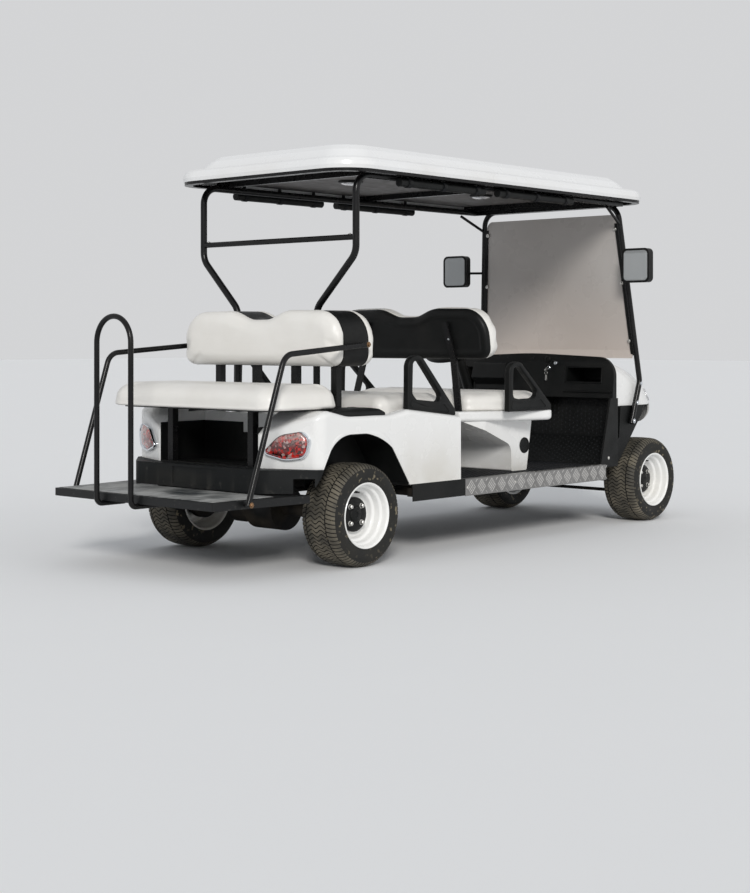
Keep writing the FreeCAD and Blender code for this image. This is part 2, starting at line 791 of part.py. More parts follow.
def cowl_form(inset, rear):
    """Outer form of the cowl, drawn in and down by inset, filled solid."""
    wires = []
    for level in cowl_levels:
        corners = [(Vector(x, y, level[0] - inset), r) for x, y, r in cowl_outline(level, inset, rear)]
        wires.append(Part.Wire(path_edges(corners, True)))
    return Part.makeLoft(wires, True, False)


def front_cowl():
    solid = cowl_form(0, cowl_rear_x).cut(cowl_form(body_wall, cowl_rear_x - 20))
    # Side skirts end above the wheels, the nose reaches lower
    solid = solid.cut(block(cowl_rear_x - 1, nose_rear_x, -beyond, beyond, 480, cowl_bottom_z))
    return [solid.removeSplitter()]


def dashboard():
    """Moulded panel with a crowned top, and the box with its pockets behind it, inside the cowl."""
    back = cowl_rear_x - seat_gap
    outline = [(-cheek_half, dash_low_z, 0), (cheek_half, dash_low_z, 0), (cheek_half, dash_top_z - 16, 105),
               (0, dash_top_z + 8, 2500), (-cheek_half, dash_top_z - 16, 105)]
    side_view = [(dash_rear_x, dash_low_z), (dash_rear_x + 20, dash_top_z - 40, 60),
                 (dash_rear_x + 12, dash_top_z + 20),
                 (back, dash_top_z + 20), (back, dash_low_z)]
    panel = prism(outline, "YZ", dash_rear_x, back).common(prism(side_view, "XZ", -cheek_half, cheek_half))
    box = block(back, 1270, -cowl_half, cowl_half, dash_low_z, dash_top_z)
    box = box.common(cowl_form(body_wall + seat_gap, back - 1))
    # Open pockets: y of both ends, floor, ceiling
    pockets = [prism([(1050, floor), (1050, ceiling, 10), (1240, ceiling, 14), (1236, floor - 4, 14)], "XZ",
                     y0, y1)
               for y0, y1, floor, ceiling in ((-474, -250, 776, 852), (400, 450, 722, 848))]
    binnacle = prism([(1020, 790), (1046, 876, 14), (1094, 876), (1075, 740)], "XZ", 150, 385)
    dash = panel.fuse(box).cut(pockets)
    knee = prism([(1066.5, dash_low_z), (1139.6, dash_low_z), (1132, 600), (1106, 590, 20)], "XZ", -110, 110)
    return [join([dash, binnacle, knee])]


def front_bulkhead():
    """Side cheeks, toe board, fender panels and the inner walls of the wheel housings."""
    pieces = []
    cheek_top = dash_low_z - seat_gap
    cheek = [(footwell_front_x - 4, floor_top_z), (1040, cheek_top), (1110, cheek_top), (1110, 322),
             (sill_front_x, 322),
             (sill_front_x, floor_top_z)]
    shelf_top = cowl_bottom_z - seat_gap
    fender = [(1096, shelf_top), (1400, shelf_top), (1390, 606, 20), (1172, 360, 30), (1098, 322)]
    for side in (-1, 1):
        y0, y1 = sorted((side * (cheek_half - cheek_wall), side * cheek_half))
        pieces.append(prism(cheek, "XZ", y0, y1))
        y0, y1 = sorted((side * (fender_half - cheek_wall), side * fender_half))
        pieces.append(prism(fender, "XZ", y0, y1))
        y0, y1 = sorted((side * (fender_half - cheek_wall), side * cheek_half))
        pieces.append(block(1096, 1110, y0, y1, 322, shelf_top))
    wall_half = cowl_half - body_wall - seat_gap
    toe = [(sill_front_x, floor_bottom_z), (footwell_front_x + 12, floor_bottom_z), (1128, 472),
           (1146, cheek_top),
           (1140, cheek_top), (1122, 478), (footwell_front_x, floor_top_z), (sill_front_x, floor_top_z)]
    board = prism(toe, "XZ", -cheek_half, cheek_half)
    pieces.append(board.cut([block(1110, 1200, -beyond, -wall_half, shelf_top, 700),
                             block(1110, 1200, wall_half, beyond, shelf_top, 700)]))
    shelf = prism(cowl_outline(cowl_levels[1], 0, 1137), "XY", shelf_top - 6, shelf_top)
    pieces.append(shelf.common(block(1137, 1690, -beyond, beyond, 600, 700)))
    low = front_rail_z + rail_height
    for side in (-1, 1):
        y0, y1 = sorted((side * (housing_half - 6), side * housing_half))
        pieces.append(block(1130, 1690, y0, y1, low, cowl_bottom_z - 3))
    pieces.append(block(1684, 1690, -housing_half, housing_half, low, cowl_bottom_z - 3))
    return [join(pieces)]


def front_bumper():
    """Channel across the noses of the rails, on two brackets."""
    front, rear = half_length, rail_front_x + 45
    outer = prism(even([(rear, -300, 12), (front - 45, -300, 40), (front, -170, 150)]), "XY", 270, 360)
    inner = prism(even([(rear - 45, -288), (front - 52, -288), (front - 10, -165)]), "XY", 260, 350)
    shell = outer.cut(inner)
    horns = [block(rail_front_x, front - 9.5, y - 20, y + 20, 316, 350.5) for y in (-rail_y, rail_y)]
    return [join([shell] + horns)]


def head_lamps():
    """Lenses that follow the cowl's corners."""
    lamp = prism([(-86, -34, 30), (86, -28, 28), (74, 40, 34), (-62, 30, 28)], "XZ", -60, 60)
    lamp.rotate(Vector(0, 0, 0), Vector(0, 0, 1), -34)
    lamp.translate(Vector(1690, 400, 690))
    skin = cowl_form(-lens_thickness, cowl_rear_x).cut(cowl_form(-seat_gap, cowl_rear_x - 20))
    return both(lamp.common(skin))


# Steering

def column_axis():
    return (Vector(*wheel_centre) - Vector(*column_foot)).normalize()


def steering_column():
    axis = column_axis()
    foot = Vector(*column_foot)
    top = Vector(*wheel_centre) - axis * 60
    cover = rod(tuple(foot - axis * 60), tuple(top), 27)
    bore = rod(tuple(top - axis * 120), tuple(top + axis), 11 + running_fit)
    flange = rod(tuple(foot - axis * 60), tuple(foot + axis * 6), 44)
    body = cover.fuse(flange).cut(bore)
    toe = [(900, 200), (footwell_front_x, floor_top_z + 0.3), (1122, 478 + 0.3), (1300, 622), (1300, 200)]
    return [body.cut(prism(toe, "XZ", 100, 400)).removeSplitter()]


def steering_wheel():
    axis = column_axis()
    centre = Vector(*wheel_centre)
    rim = Part.makeTorus(steering_wheel_radius, steering_rim_radius, centre, axis)
    hub = rod(tuple(centre - axis * 59.7), tuple(centre - axis * 20), 40)
    shaft = rod(tuple(centre - axis * 175), tuple(centre - axis * 50), 11)
    pieces = [rim, hub, shaft]
    side = Vector(0, 1, 0)
    down = axis.cross(side)
    for angle in (0, 180, 90):
        turn = math.radians(angle)
        way = side * math.cos(turn) + down * math.sin(turn)
        pieces.append(rod(tuple(centre - axis * 34), tuple(centre + way * steering_wheel_radius), 9))
    return [join(pieces)]


def pedals():
    pieces = []
    slope = math.degrees(math.atan2(478 - floor_top_z, 1122 - footwell_front_x))
    for y, width, height in ((90, 60, 150), (180, 76, 80)):
        pad = block(-height / 2, height / 2, -width / 2, width / 2, 30, 40)
        stem = block(-8, 8, -8, 8, 0, 30)
        pedal = pad.fuse(stem)
        pedal.rotate(Vector(0, 0, 0), Vector(0, 1, 0), -slope)
        rise = (1060 - footwell_front_x) * math.tan(math.radians(slope))
        pedal.translate(Vector(1060, y, floor_top_z + rise + 0.3))
        pieces.append(pedal.removeSplitter())
    return pieces


# Axles, springs and wheels

def front_axle():
    beam = block(front_axle_x - 25, front_axle_x + 25, -kingpin_y, kingpin_y, axle_z - 25, axle_z + 25)
    pieces = [beam]
    for side in (-1, 1):
        pieces.append(rod((front_axle_x, side * kingpin_y, axle_z - 35),
                          (front_axle_x, side * kingpin_y, axle_z + 35), 25))
    body = join(pieces)
    for side in (-1, 1):
        body = body.cut(rod((front_axle_x, side * kingpin_y, 100), (front_axle_x, side * kingpin_y, 400),
                            kingpin_radius + running_fit))
    return [body]


def knuckle():
    """Left knuckle: fork round the beam's eye, kingpin, stub axle and steering arm."""
    x, y, z = front_axle_x, kingpin_y, axle_z
    ears = []
    for low in (z + 35 + seat_gap, z - 49 - seat_gap):
        ears.append(rod((x, y, low), (x, y, low + 14), 20))
        ears.append(block(x - 16, x + 16, y, y + 40, low, low + 14))
    web = block(x - 16, x + 16, y + 27, y + 41, z - 49 - seat_gap, z + 49 + seat_gap)
    pin = rod((x, y, z - 50), (x, y, z + 52), kingpin_radius)
    stub = rod((x, y + 40, z), (x, front_track / 2 + 22, z), stub_radius)
    arm_low = z - 49 - seat_gap
    bx, by = tie_ball
    arm = prism([(x + 10, y - 16), (x + 10, y + 16), (bx + 12, by + 12), (bx - 13, by + 12, 11),
                 (bx - 13, by - 12, 11),
                 (bx + 12, by - 12)], "XY", arm_low, arm_low + 12)
    ball_hole = rod((bx, by, arm_low - 5), (bx, by, arm_low + 30), 5 + running_fit)
    return join(ears + [web, pin, stub, arm]).cut(ball_hole)


def tie_rod():
    (x, y), z = tie_ball, axle_z - 49 - seat_gap
    pieces = [rod((x, -y, z - 15), (x, y, z - 15), 9)]
    for side in (-1, 1):
        pieces.append(rod((x, side * y, z - 26), (x, side * y, z - seat_gap), 13))
        pieces.append(rod((x, side * y, z - 10), (x, side * y, z + 16), 5))
    return [join(pieces)]


def rear_axle():
    x, z = rear_axle_x, axle_z
    end = rear_track / 2 - 85
    pieces = [rod((x, -end, z), (x, end, z), 34), rod((x, -120, z), (x, 60, z), 104),
              rod((x, 60, z), (x, 198, z), 84)]
    pieces.append(rod((x, -rear_track / 2 - 22, z), (x, rear_track / 2 + 22, z), stub_radius))
    for side in (-1, 1):
        pieces.append(rod((x, side * end, z), (x, side * (end + 34), z), 86))
    return [join(pieces)]


def leaf_springs():
    """Three stacked leaves a side, curved up to an eye at each end under the rail."""
    pieces = []
    # axle x, rail underside, seat of the pack on the axle, half length
    for x, rail_z, seat_z, reach in ((rear_axle_x, rail_high_z, axle_z + 34, 255),
                                     (front_axle_x, front_rail_z, axle_z + 25, 245)):
        rise = rail_z - 14 - 12 - seat_z
        leaf = 7
        for side in (-1, 1):
            parts = []
            for level, share in ((0, 0.42), (1, 0.7), (2, 1)):
                low = seat_z + seat_gap + level * leaf
                half = reach * share
                lift = (rise - 2 * leaf) * share ** 2
                bottom = [Vector(x - half, side * rail_y - 22, low + lift),
                          Vector(x, side * rail_y - 22, low),
                          Vector(x + half, side * rail_y - 22, low + lift)]
                top = [p + Vector(0, 0, leaf) for p in bottom]
                edges = [Part.Arc(*bottom).toShape(), Part.LineSegment(bottom[2], top[2]).toShape(),
                         Part.Arc(top[2], top[1], top[0]).toShape(), Part.LineSegment(top[0],
                                                                                      bottom[0]).toShape()]
                parts.append(Part.Face(Part.Wire(edges)).extrude(Vector(0, 44, 0)))
            for end in (-1, 1):
                eye_x = x + end * reach
                eye_z = seat_z + rise + leaf / 2
                parts.append(rod((eye_x, side * rail_y - 22, eye_z), (eye_x, side * rail_y + 22, eye_z), 13))
                parts.append(block(eye_x - 12, eye_x + 12, side * rail_y - 14, side * rail_y + 14, eye_z,
                                   rail_z))
            parts.append(block(x - 40, x + 40, side * rail_y - 25, side * rail_y + 25, seat_z + 3 * leaf,
                               seat_z + 3 * leaf + 8))
            pieces.append(join(parts))
    return pieces


def tyre(x, y):
    half = tyre_width / 2
    outer = tyre_diameter / 2
    bead = rim_diameter / 2 - 14
    s = tyre_shoulder
    outline = [(bead, -half + 12), (bead + 40, -half), (outer - s, -half + 2), (outer - 8, -half + 14),
               (outer, -half + s), (outer, half - s),
               (outer - 8, half - 14), (outer - s, half - 2), (bead + 40, half), (bead, half - 12)]
    return [ring(outline, (x, y, axle_z), (0, 1, 0))]


def rim(x, y, side):
    """Dished steel rim: barrel, flanges, dish and hub with its four studs."""
    half = rim_width / 2
    lip = rim_diameter / 2
    seat = lip - 14 - 0.3
    # radius, distance outboard of the wheel's middle
    outline = [(seat, -half + 4), (lip - 0.5, -half), (lip - 0.5, -half - 3), (seat - 6, -half - 3),
               (seat - 20, -half + 40),
               (seat - 22, half - 60), (70, half - 82), (58, 8), (stub_radius + running_fit,
                                                                  8), (stub_radius + running_fit, 20), (54,
                                                                                                        20),
               (66, half - 74), (seat - 18, half - 50), (seat - 14, half - 20), (seat - 6,
                                                                                 half + 3), (lip - 0.5,
                                                                                             half + 3),
               (lip - 0.5, half), (seat, half - 4)]
    disc = ring(outline, (x, y, axle_z), (0, side, 0))
    cap = rod((x, y + side * 24, axle_z), (x, y + side * 48, axle_z), 34)
    plate = rod((x, y + side * 20, axle_z), (x, y + side * 26, axle_z), 56)
    parts = [disc, cap, plate]
    for k in range(4):
        turn = math.radians(45 + 90 * k)
        px, pz = x + 42 * math.cos(turn), axle_z + 42 * math.sin(turn)
        parts.append(rod((px, y + side * 20, pz), (px, y + side * 40, pz), 7))
    body = join(parts)
    return [body.cut(rod((x, y - side * 120, axle_z), (x, y + side * 22.2, axle_z),
                         stub_radius + running_fit))]


save("chassis_frame", chassis_frame())
save("floor_pan", floor_pan())
save("sills", sills())
save("rockers", rockers())
save("rear_body", rear_body())
save("rear_liners", rear_liners())
save("rear_bumper", rear_bumper())
save("tail_lamps", tail_lamps())
save("tray_caps", tray_caps())
save("battery_pack", battery_pack())
save("rear_step", rear_step())
save("grab_hoop", grab_hoop())
save("armrests", armrests())
save("seat_frames", seat_frames())
pads, shells = backrests()
save("backrest_pads", pads)
save("backrest_shells", shells)
save("seat_lid", seat_lid())
save("middle_cushion", middle_cushion())
save("seat_cushions", seat_cushions())
save("front_pod", front_pod())
save("hip_restraints", hip_restraints())
save("roof", roof())
save("roof_liner", roof_liner())
save("roof_frame", roof_frame())
save("front_hoop", front_hoop())
save("windshield", windshield())
save("windshield_channels", windshield_channels())
save("mirrors", mirrors())
save("curtain_rolls", curtain_rolls())
save("front_cowl", front_cowl())
save("dashboard", dashboard())
save("front_bulkhead", front_bulkhead())
save("front_bumper", front_bumper())
save("head_lamps", head_lamps())
save("steering_column", steering_column())
save("steering_wheel", steering_wheel())
save("pedals", pedals())
save("front_axle", front_axle())
save("knuckle_left", [knuckle()])
save("knuckle_right", [flip(knuckle())])
save("tie_rod", tie_rod())
save("rear_axle", rear_axle())
save("leaf_springs", leaf_springs())
for end, x, track in (("front", front_axle_x, front_track), ("rear", rear_axle_x, rear_track)):
    for name, side in (("left", 1), ("right", -1)):
        save("tyre_" + end + "_" + name, tyre(x, side * track / 2))
        save("rim_" + end + "_" + name, rim(x, side * track / 2, side))
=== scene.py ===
import json
import math

import bpy
from mathutils import Matrix, Vector
from mathutils.bvhtree import BVHTree


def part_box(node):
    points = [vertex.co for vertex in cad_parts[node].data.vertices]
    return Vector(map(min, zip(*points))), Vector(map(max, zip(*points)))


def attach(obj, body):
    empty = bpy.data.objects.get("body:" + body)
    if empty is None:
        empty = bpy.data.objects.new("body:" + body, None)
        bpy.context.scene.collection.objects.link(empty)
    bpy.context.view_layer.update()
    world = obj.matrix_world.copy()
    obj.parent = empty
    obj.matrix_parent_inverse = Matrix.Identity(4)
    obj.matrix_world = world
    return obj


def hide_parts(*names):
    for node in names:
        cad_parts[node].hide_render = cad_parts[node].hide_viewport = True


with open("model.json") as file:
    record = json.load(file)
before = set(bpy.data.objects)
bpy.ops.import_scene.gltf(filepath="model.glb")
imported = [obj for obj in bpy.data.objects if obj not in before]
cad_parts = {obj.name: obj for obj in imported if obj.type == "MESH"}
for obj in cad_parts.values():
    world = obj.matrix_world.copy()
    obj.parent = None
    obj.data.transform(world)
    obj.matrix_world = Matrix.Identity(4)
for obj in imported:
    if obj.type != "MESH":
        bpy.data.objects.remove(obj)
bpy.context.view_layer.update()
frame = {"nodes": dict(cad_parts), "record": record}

NODES = frame["nodes"]
SIDES = ((1, "left"), (-1, "right"))

# Each lamp: where its light comes from, its strength and its spread in degrees
LIGHTS = {"key": ((-0.62, -0.6, 0.42), 1.85, 14), "fill": ((0.35, -0.85, 0.3), 0.28, 50)}
LIGHT_COLOR = (1, 0.98, 0.95)
# The light from all round, and the tone that the camera sees behind the floor
SKY_COLOR = (0.93, 0.96, 1, 1)
AMBIENT = 0.5
HORIZON = (0.655, 0.66, 0.67, 1)
FLOOR_REACH = 60

# Camera, in metres and degrees, solved from the photograph
CAMERA_PLACE = (-6.193, -5.334, 1.01)
CAMERA_YAW = 41.865
CAMERA_LENS = 64.16
CAMERA_SHIFT_Y = -0.1204


# Materials

def add_node(tree, kind, inputs=None, **values):
    """A shader node. An input that is given a socket is linked to it, any other is set."""
    node = tree.nodes.new("ShaderNode" + kind)
    for key, value in values.items():
        setattr(node, key, value)
    for key, value in (inputs or {}).items():
        if isinstance(value, bpy.types.NodeSocket):
            tree.links.new(value, node.inputs[key])
        else:
            node.inputs[key].default_value = value
    return node


class Surface:
    """One Principled material and the nodes that vary it. Numbers that are constant sit on its own sockets.

    A source is a socket, the numbers that noise takes, a kind of cells and their scale, or "height".
    """

    def __init__(self, name, base, roughness, metallic=0, **sockets):
        self.material = bpy.data.materials.new(name)
        self.material.use_nodes = True
        self.tree = self.material.node_tree
        self.shader = self.tree.nodes["Principled BSDF"]
        sockets.update(Base_Color=(*base, 1), Roughness=roughness, Metallic=metallic)
        for key, value in sockets.items():
            self.shader.inputs[key.replace("_", " ")].default_value = value
        self.place = self.node("TexCoord").outputs["Object"]
        self.normal = None

    def node(self, kind, inputs=None, **values):
        return add_node(self.tree, kind, inputs, **values)

    def drive(self, socket, output):
        self.tree.links.new(output, self.shader.inputs[socket])

    def color(self, output):
        self.drive("Base Color", output)

    def noise(self, scale, detail=4, stretch=None):
        place = self.place
        if stretch:
            place = self.node("Mapping", {"Vector": place, "Scale": stretch}).outputs["Vector"]
        return self.node("TexNoise", {"Vector": place, "Scale": scale, "Detail": detail}).outputs["Fac"]

    def cells(self, scale, feature="F1"):
        return self.node("TexVoronoi", {"Vector": self.place, "Scale": scale}, feature=feature)

    def read(self, source):
        if source == "height":
            return self.node("SeparateXYZ", {0: self.place}).outputs["Z"]
        if not isinstance(source, tuple):
            return source
        if isinstance(source[0], str):
            return self.cells(source[1], source[0]).outputs["Distance"]
        return self.noise(*source)

    def span(self, source, low, high, to_low=0, to_high=1):
        return self.node("MapRange", {"Value": self.read(source), "From Min": low, "From Max": high, "To Min": to_low,
                                      "To Max": to_high}).outputs["Result"]

    def times(self, a, b):
        return self.node("Math", {0: a, 1: b}, operation="MULTIPLY").outputs[0]

    def mix(self, share, under, over):
        """From under to over, each a colour or a socket."""
        under, over = ((*c, 1) if isinstance(c, tuple) else c for c in (under, over))
        return self.node("Mix", {"Factor": share, 6: under, 7: over}, data_type="RGBA").outputs[2]

    def stain(self, under, source, low, high, most, over, *places):
        """The colour over, as strong as most, where the source is high, and within places (source, low, high)."""
        share = self.span(source, low, high, 0, most)
        for place in places:
            share = self.times(share, self.span(*place))
        return self.mix(share, under, over)

    def gloss(self, source, least, most, low=0.3, high=0.7):
        """Roughness from least to most."""
        self.drive("Roughness", self.span(source, low, high, least, most))

    def bump(self, source, distance, strength):
        inputs = {"Distance": distance, "Strength": strength, "Height": self.read(source)}
        if self.normal is not None:
            inputs["Normal"] = self.normal
        self.normal = self.node("Bump", inputs).outputs["Normal"]
        self.drive("Normal", self.normal)


def stained(name, base, roughness, stains, gloss=None, bumps=(), metallic=0, **sockets):
    """A surface with stains, one over another, a gloss and bumps: each is what the method of that name takes."""
    s = Surface(name, base, roughness, metallic, **sockets)
    shade = base
    for stain in stains:
        shade = s.stain(shade, *stain)
    s.color(shade)
    if gloss:
        s.gloss(*gloss)
    for bump in bumps:
        s.bump(*bump)
    return s


def white_gloss(name, base, dusty, low, high):
    """Moulded or enamelled white with a little road dust towards its lower edge."""
    s = Surface(name, base, 0.24, Coat_Weight=0.3, Coat_Roughness=0.08)
    s.color(s.mix(s.times(s.span((3.2, 5), 0.42, 0.7, 0.1), s.span("height", high, low)), base, dusty))
    s.gloss((9, 3), 0.2, 0.32)
    s.bump((55, 2), 0.0006, 0.25)
    return s


def rubber(name, base, dust, share):
    return stained(name, base, 0.75, [((11, 8), 0.4, 0.72, share, dust)], ((11, 8), 0.6, 0.9),
                   [((260, 4), 0.0005, 0.35)], Specular_IOR_Level=0.3)


def metal(name, base, roughness):
    return stained(name, base, roughness, [((60, 4), 0.4, 0.75, 0.6, tuple(c * 0.7 for c in base))],
                   ((90, 3), roughness * 0.8, roughness * 1.3), metallic=1)


def windshield_film():
    """Clear sheet still in its milky protective film."""
    s = Surface("filmed windshield", (0.52, 0.47, 0.44), 0.3, Alpha=0.9, Coat_Weight=0.25, Coat_Roughness=0.15)
    cloud = s.stain((0.42, 0.385, 0.36), (1.3, 2), 0.35, 0.65, 1, (0.53, 0.5, 0.475))
    # Painted light: the sheet lighter and warmer towards its foot
    s.color(s.mix(s.span("height", 1.35, 0.95), cloud, (0.62, 0.55, 0.5)))
    s.gloss((6, 3), 0.22, 0.36)
    s.bump((4, 2, (1, 1.6, 0.4)), 0.006, 0.12)
    return s


def mirror_glass():
    # Its mottled grey base colour is painted reflection; its metallic share and gloss reflect for real
    s = Surface("mirror glass", (0.36, 0.375, 0.38), 0.12, 0.25)
    s.gloss((8, 4), 0.08, 0.16, 0.3, 0.8)
    s.color(s.mix(s.noise(5), (0.33, 0.345, 0.35), (0.39, 0.405, 0.41)))
    return s


def studio_floor():
    s = Surface("studio floor", (0.9, 0.905, 0.91), 0.9, Specular_IOR_Level=0.1)
    s.color(s.mix(s.noise(2, 5), (0.895, 0.9, 0.905), (0.905, 0.91, 0.915)))
    return s


def lamp_lens(name, glass, dark, painted_glints, low, high):
    """A faceted reflector seen through a clear lens, drawn in colour: painted shade on its facets, painted glints, and
    a painted reflection paler above, deep in the middle and bright at its foot.
    """
    s = Surface(name, glass, 0.2, 0.15, Coat_Weight=1, Coat_Roughness=0.02)
    facets, small = s.cells(80), s.cells(170)
    coarse, fine = (s.node("SeparateColor", {0: cells.outputs["Color"]}).outputs for cells in (facets, small))
    centre = (low + high) / 2
    # Painted shade: some facets darker, then a deeper band across the middle
    shade = s.stain(glass, coarse[0], 0.35, 0.75, 1, dark)
    middle = s.times(s.span("height", high, centre), s.span("height", low, centre))
    shade = s.mix(s.times(middle, s.span(fine[1], 0.2, 0.6, 0.4)), shade, dark)
    # Painted glints, thickest over the upper part as a painted reflection
    upper = s.span("height", low * 0.55 + high * 0.45, high)
    shade = s.mix(s.times(upper, s.span(fine[0], 0.1, 0.5, 0.2)), shade, painted_glints)
    # More painted glints scattered over the whole lens
    s.color(s.stain(shade, coarse[1], 0.8, 0.86, 0.8, painted_glints))
    s.gloss(facets.outputs["Distance"], 0.1, 0.25, 0, 0.7)
    s.bump(facets.outputs["Distance"], 0.003, 0.5)
    return s


def build_materials():
    streaks = (2.6, 8, (1, 1, 3))
    made = {
        "body": white_gloss("body white", (0.8, 0.8, 0.79), (0.62, 0.6, 0.55), 0.34, 0.62),
        "roof": white_gloss("roof white", (0.8, 0.805, 0.81), (0.72, 0.71, 0.69), 1.76, 1.86),
        "rim": white_gloss("rim enamel", (0.88, 0.88, 0.865), (0.6, 0.57, 0.5), 0.1, 0.3),
        "plastic": stained(
            "black plastic", (0.0045, 0.005, 0.005), 0.45, [((5, 6), 0.5, 0.78, 0.4, (0.022, 0.021, 0.019))],
            ((14, 3), 0.38, 0.56), [(("F1", 900), 0.0003, 0.45)], Specular_IOR_Level=0.2),
        # The rear bumper: black plastic under faint dried dust, run down near its lower edge
        "bumper": stained(
            "dusty bumper plastic", (0.006, 0.007, 0.0075), 0.5, [
                (streaks, 0.5, 0.74, 0.5, (0.03, 0.029, 0.026)),
                ((9, 7, (1.6, 1.6, 0.35)), 0.55, 0.75, 0.5, (0.06, 0.057, 0.05), ("height", 0.44, 0.35)),
                ((26, 6), 0.64, 0.76, 0.3, (0.12, 0.115, 0.1))],
            (streaks, 0.4, 0.75), [(("F1", 700), 0.0004, 0.5)], Specular_IOR_Level=0.2),
        "steel": stained(
            "black powder coat", (0.005, 0.005, 0.0055), 0.24, [((4, 5), 0.5, 0.75, 0.35, (0.02, 0.019, 0.017))],
            ((30, 3), 0.22, 0.38), [((420, 2), 0.0003, 0.3)],
            Specular_IOR_Level=0.2, Coat_Weight=0.08, Coat_Roughness=0.1),
        "chassis": stained(
            "chassis paint", (0.006, 0.006, 0.006), 0.6, [((7, 9), 0.48, 0.72, 0.6, (0.07, 0.057, 0.042))],
            ((7, 9), 0.45, 0.85), [((160, 6), 0.0008, 0.4)], Specular_IOR_Level=0.2),
        "vinyl": stained(
            "seat vinyl", (0.8, 0.785, 0.75), 0.4, [((5, 4), 0.35, 0.75, 1, (0.74, 0.72, 0.68))],
            ((12, 3), 0.33, 0.48),
            [(("SMOOTH_F1", 520), 0.0005, 0.35), ((28, 3), 0.0012, 0.2), ((7, 2, (1, 0.7, 2.2)), 0.006, 0.35)],
            Coat_Weight=0.1, Coat_Roughness=0.3),
        # Near-black rubber with dried mud flicked on it
        "tyre": stained(
            "tyre rubber", (0.015, 0.015, 0.0142), 0.7, [
                ((9, 8), 0.42, 0.7, 0.5, (0.038, 0.036, 0.031)),
                ((42, 5), 0.59, 0.65, 0.85, (0.24, 0.205, 0.14), ((6, 3), 0.4, 0.55))],
            ((9, 8), 0.5, 0.85), [((260, 4), 0.0005, 0.35), ((42, 5), 0.0015, 0.3)], Specular_IOR_Level=0.25),
        "tread": rubber("tyre tread rubber", (0.062, 0.057, 0.046), (0.19, 0.168, 0.128), 0.95),
        "mat": rubber("floor mat", (0.004, 0.005, 0.007), (0.02, 0.019, 0.018), 0.4),
        "sill": stained(
            "tread plate aluminium", (0.27, 0.265, 0.26), 0.36, [((6, 8), 0.42, 0.72, 0.7, (0.18, 0.175, 0.165))],
            ((40, 4), 0.28, 0.5), [((3, 3, (1, 60, 60)), 0.0003, 0.3)], 0.7),
        "rubbed": metal("rubbed aluminium", (0.66, 0.65, 0.63), 0.3),
        "chrome": metal("chrome", (0.72, 0.75, 0.79), 0.1),
        "zinc": metal("zinc bolts", (0.62, 0.61, 0.58), 0.3),
        "copper": metal("copper coloured bolt", (0.26, 0.16, 0.09), 0.4),
        # Dark plate under pale dust, with bright streaks of painted glint along it, and its black edge, the paint
        # chipped
        "step": stained(
            "dusty step plate", (0.035, 0.042, 0.046), 0.5, [
                ((5, 9), 0.36, 0.6, 0.95, (0.36, 0.365, 0.355)),
                # Painted glints: bright streaks along the plate
                ((7, 7, (1, 12, 1)), 0.55, 0.66, 0.75, (0.55, 0.56, 0.56))],
            ((5, 9), 0.35, 0.75), [((220, 3), 0.0004, 0.3)], 0.3),
        "edge": stained(
            "step edge", (0.006, 0.0065, 0.007), 0.4, [((60, 5), 0.62, 0.72, 0.5, (0.06, 0.058, 0.053))],
            None, [((150, 3), 0.0002, 0.2)], Specular_IOR_Level=0.3),
        "windshield": windshield_film(),
        "liner": stained(
            "headliner", (0.085, 0.077, 0.073), 0.6, [((4, 5), 0.4, 0.7, 1, (0.068, 0.062, 0.058))],
            ((20,), 0.5, 0.7), [((300, 3), 0.0005, 0.3)]),
        "mirror": mirror_glass(),
        "tail": lamp_lens("tail lamp", (0.8, 0.016, 0.008), (0.045, 0.002, 0.002), (0.5, 0.37, 0.35), 0.486, 0.608),
        "head": lamp_lens("head lamp", (0.28, 0.29, 0.31), (0.04, 0.04, 0.045), (0.8, 0.8, 0.82), 0.45, 0.75),
        "floor": studio_floor(),
    }
    return {key: surface.material for key, surface in made.items()}


def dress():
    """Every CAD node gets its finish."""
    finish = {
        "roof": "roof", "rear_bumper": "bumper", "tail_lamps": "tail", "head_lamps": "head", "sills": "sill",
        "rear_step": "edge", "floor_pan": "mat", "windshield": "windshield", "roof_liner": "liner",
        "rockers": "plastic",
    }
    finish.update(dict.fromkeys(("chassis_frame", "front_axle", "rear_axle", "leaf_springs", "knuckle_left",
                                 "knuckle_right", "tie_rod"), "chassis"))
    by_slot = {"body_white": "body", "black_steel": "steel", "seat_vinyl": "vinyl", "tyre": "tyre", "rim_white": "rim"}
    slots = {row["node"]: row["material_slot"] for row in frame["record"]["subparts"]}
    for name, node in NODES.items():
        key = finish.get(name) or by_slot.get(slots[name], "plastic")
        node.data.materials.clear()
        node.data.materials.append(MATERIALS[key])


# Meshes

def mesh_object(name, points, faces, material, smooth=True):
    mesh = bpy.data.meshes.new(name)
    mesh.from_pydata([tuple(p) for p in points], [], faces)
    mesh.validate()
    mesh.update()
    mesh.polygons.foreach_set("use_smooth", [smooth] * len(mesh.polygons))
    piece = bpy.data.objects.new(name, mesh)
    bpy.context.scene.collection.objects.link(piece)
    mesh.materials.append(MATERIALS[material])
    return piece


def activate(piece):
    bpy.ops.object.select_all(action="DESELECT")
    piece.select_set(True)
    bpy.context.view_layer.objects.active = piece


def apply_modifiers(piece):
    """The piece's mesh as its modifiers leave it."""
    graph = bpy.context.evaluated_depsgraph_get()
    mesh = bpy.data.meshes.new_from_object(piece.evaluated_get(graph))
    piece.modifiers.clear()
    piece.data = mesh


def crisp(piece, angle=32):
    """Smooth shading, with an edge kept wherever faces meet more sharply than angle."""
    activate(piece)
    bpy.ops.object.shade_smooth_by_angle(angle=math.radians(angle))


def joined(name, pieces):
    """One piece from several meshes, each keeping its material."""
    activate(pieces[0])
    for piece in pieces:
        piece.select_set(True)
    bpy.ops.object.join()
    pieces[0].name = name
    pieces[0].data.name = name
    return pieces[0]


def keep(piece, slot, *nodes, body="root"):
    """The piece rides on body and stands for nodes; slot is not used."""
    if nodes:
        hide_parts(*nodes)
    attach(piece, body)


def fit(name, parts, slot="black_plastic", *nodes):
    keep(joined(name, parts), slot, *nodes)


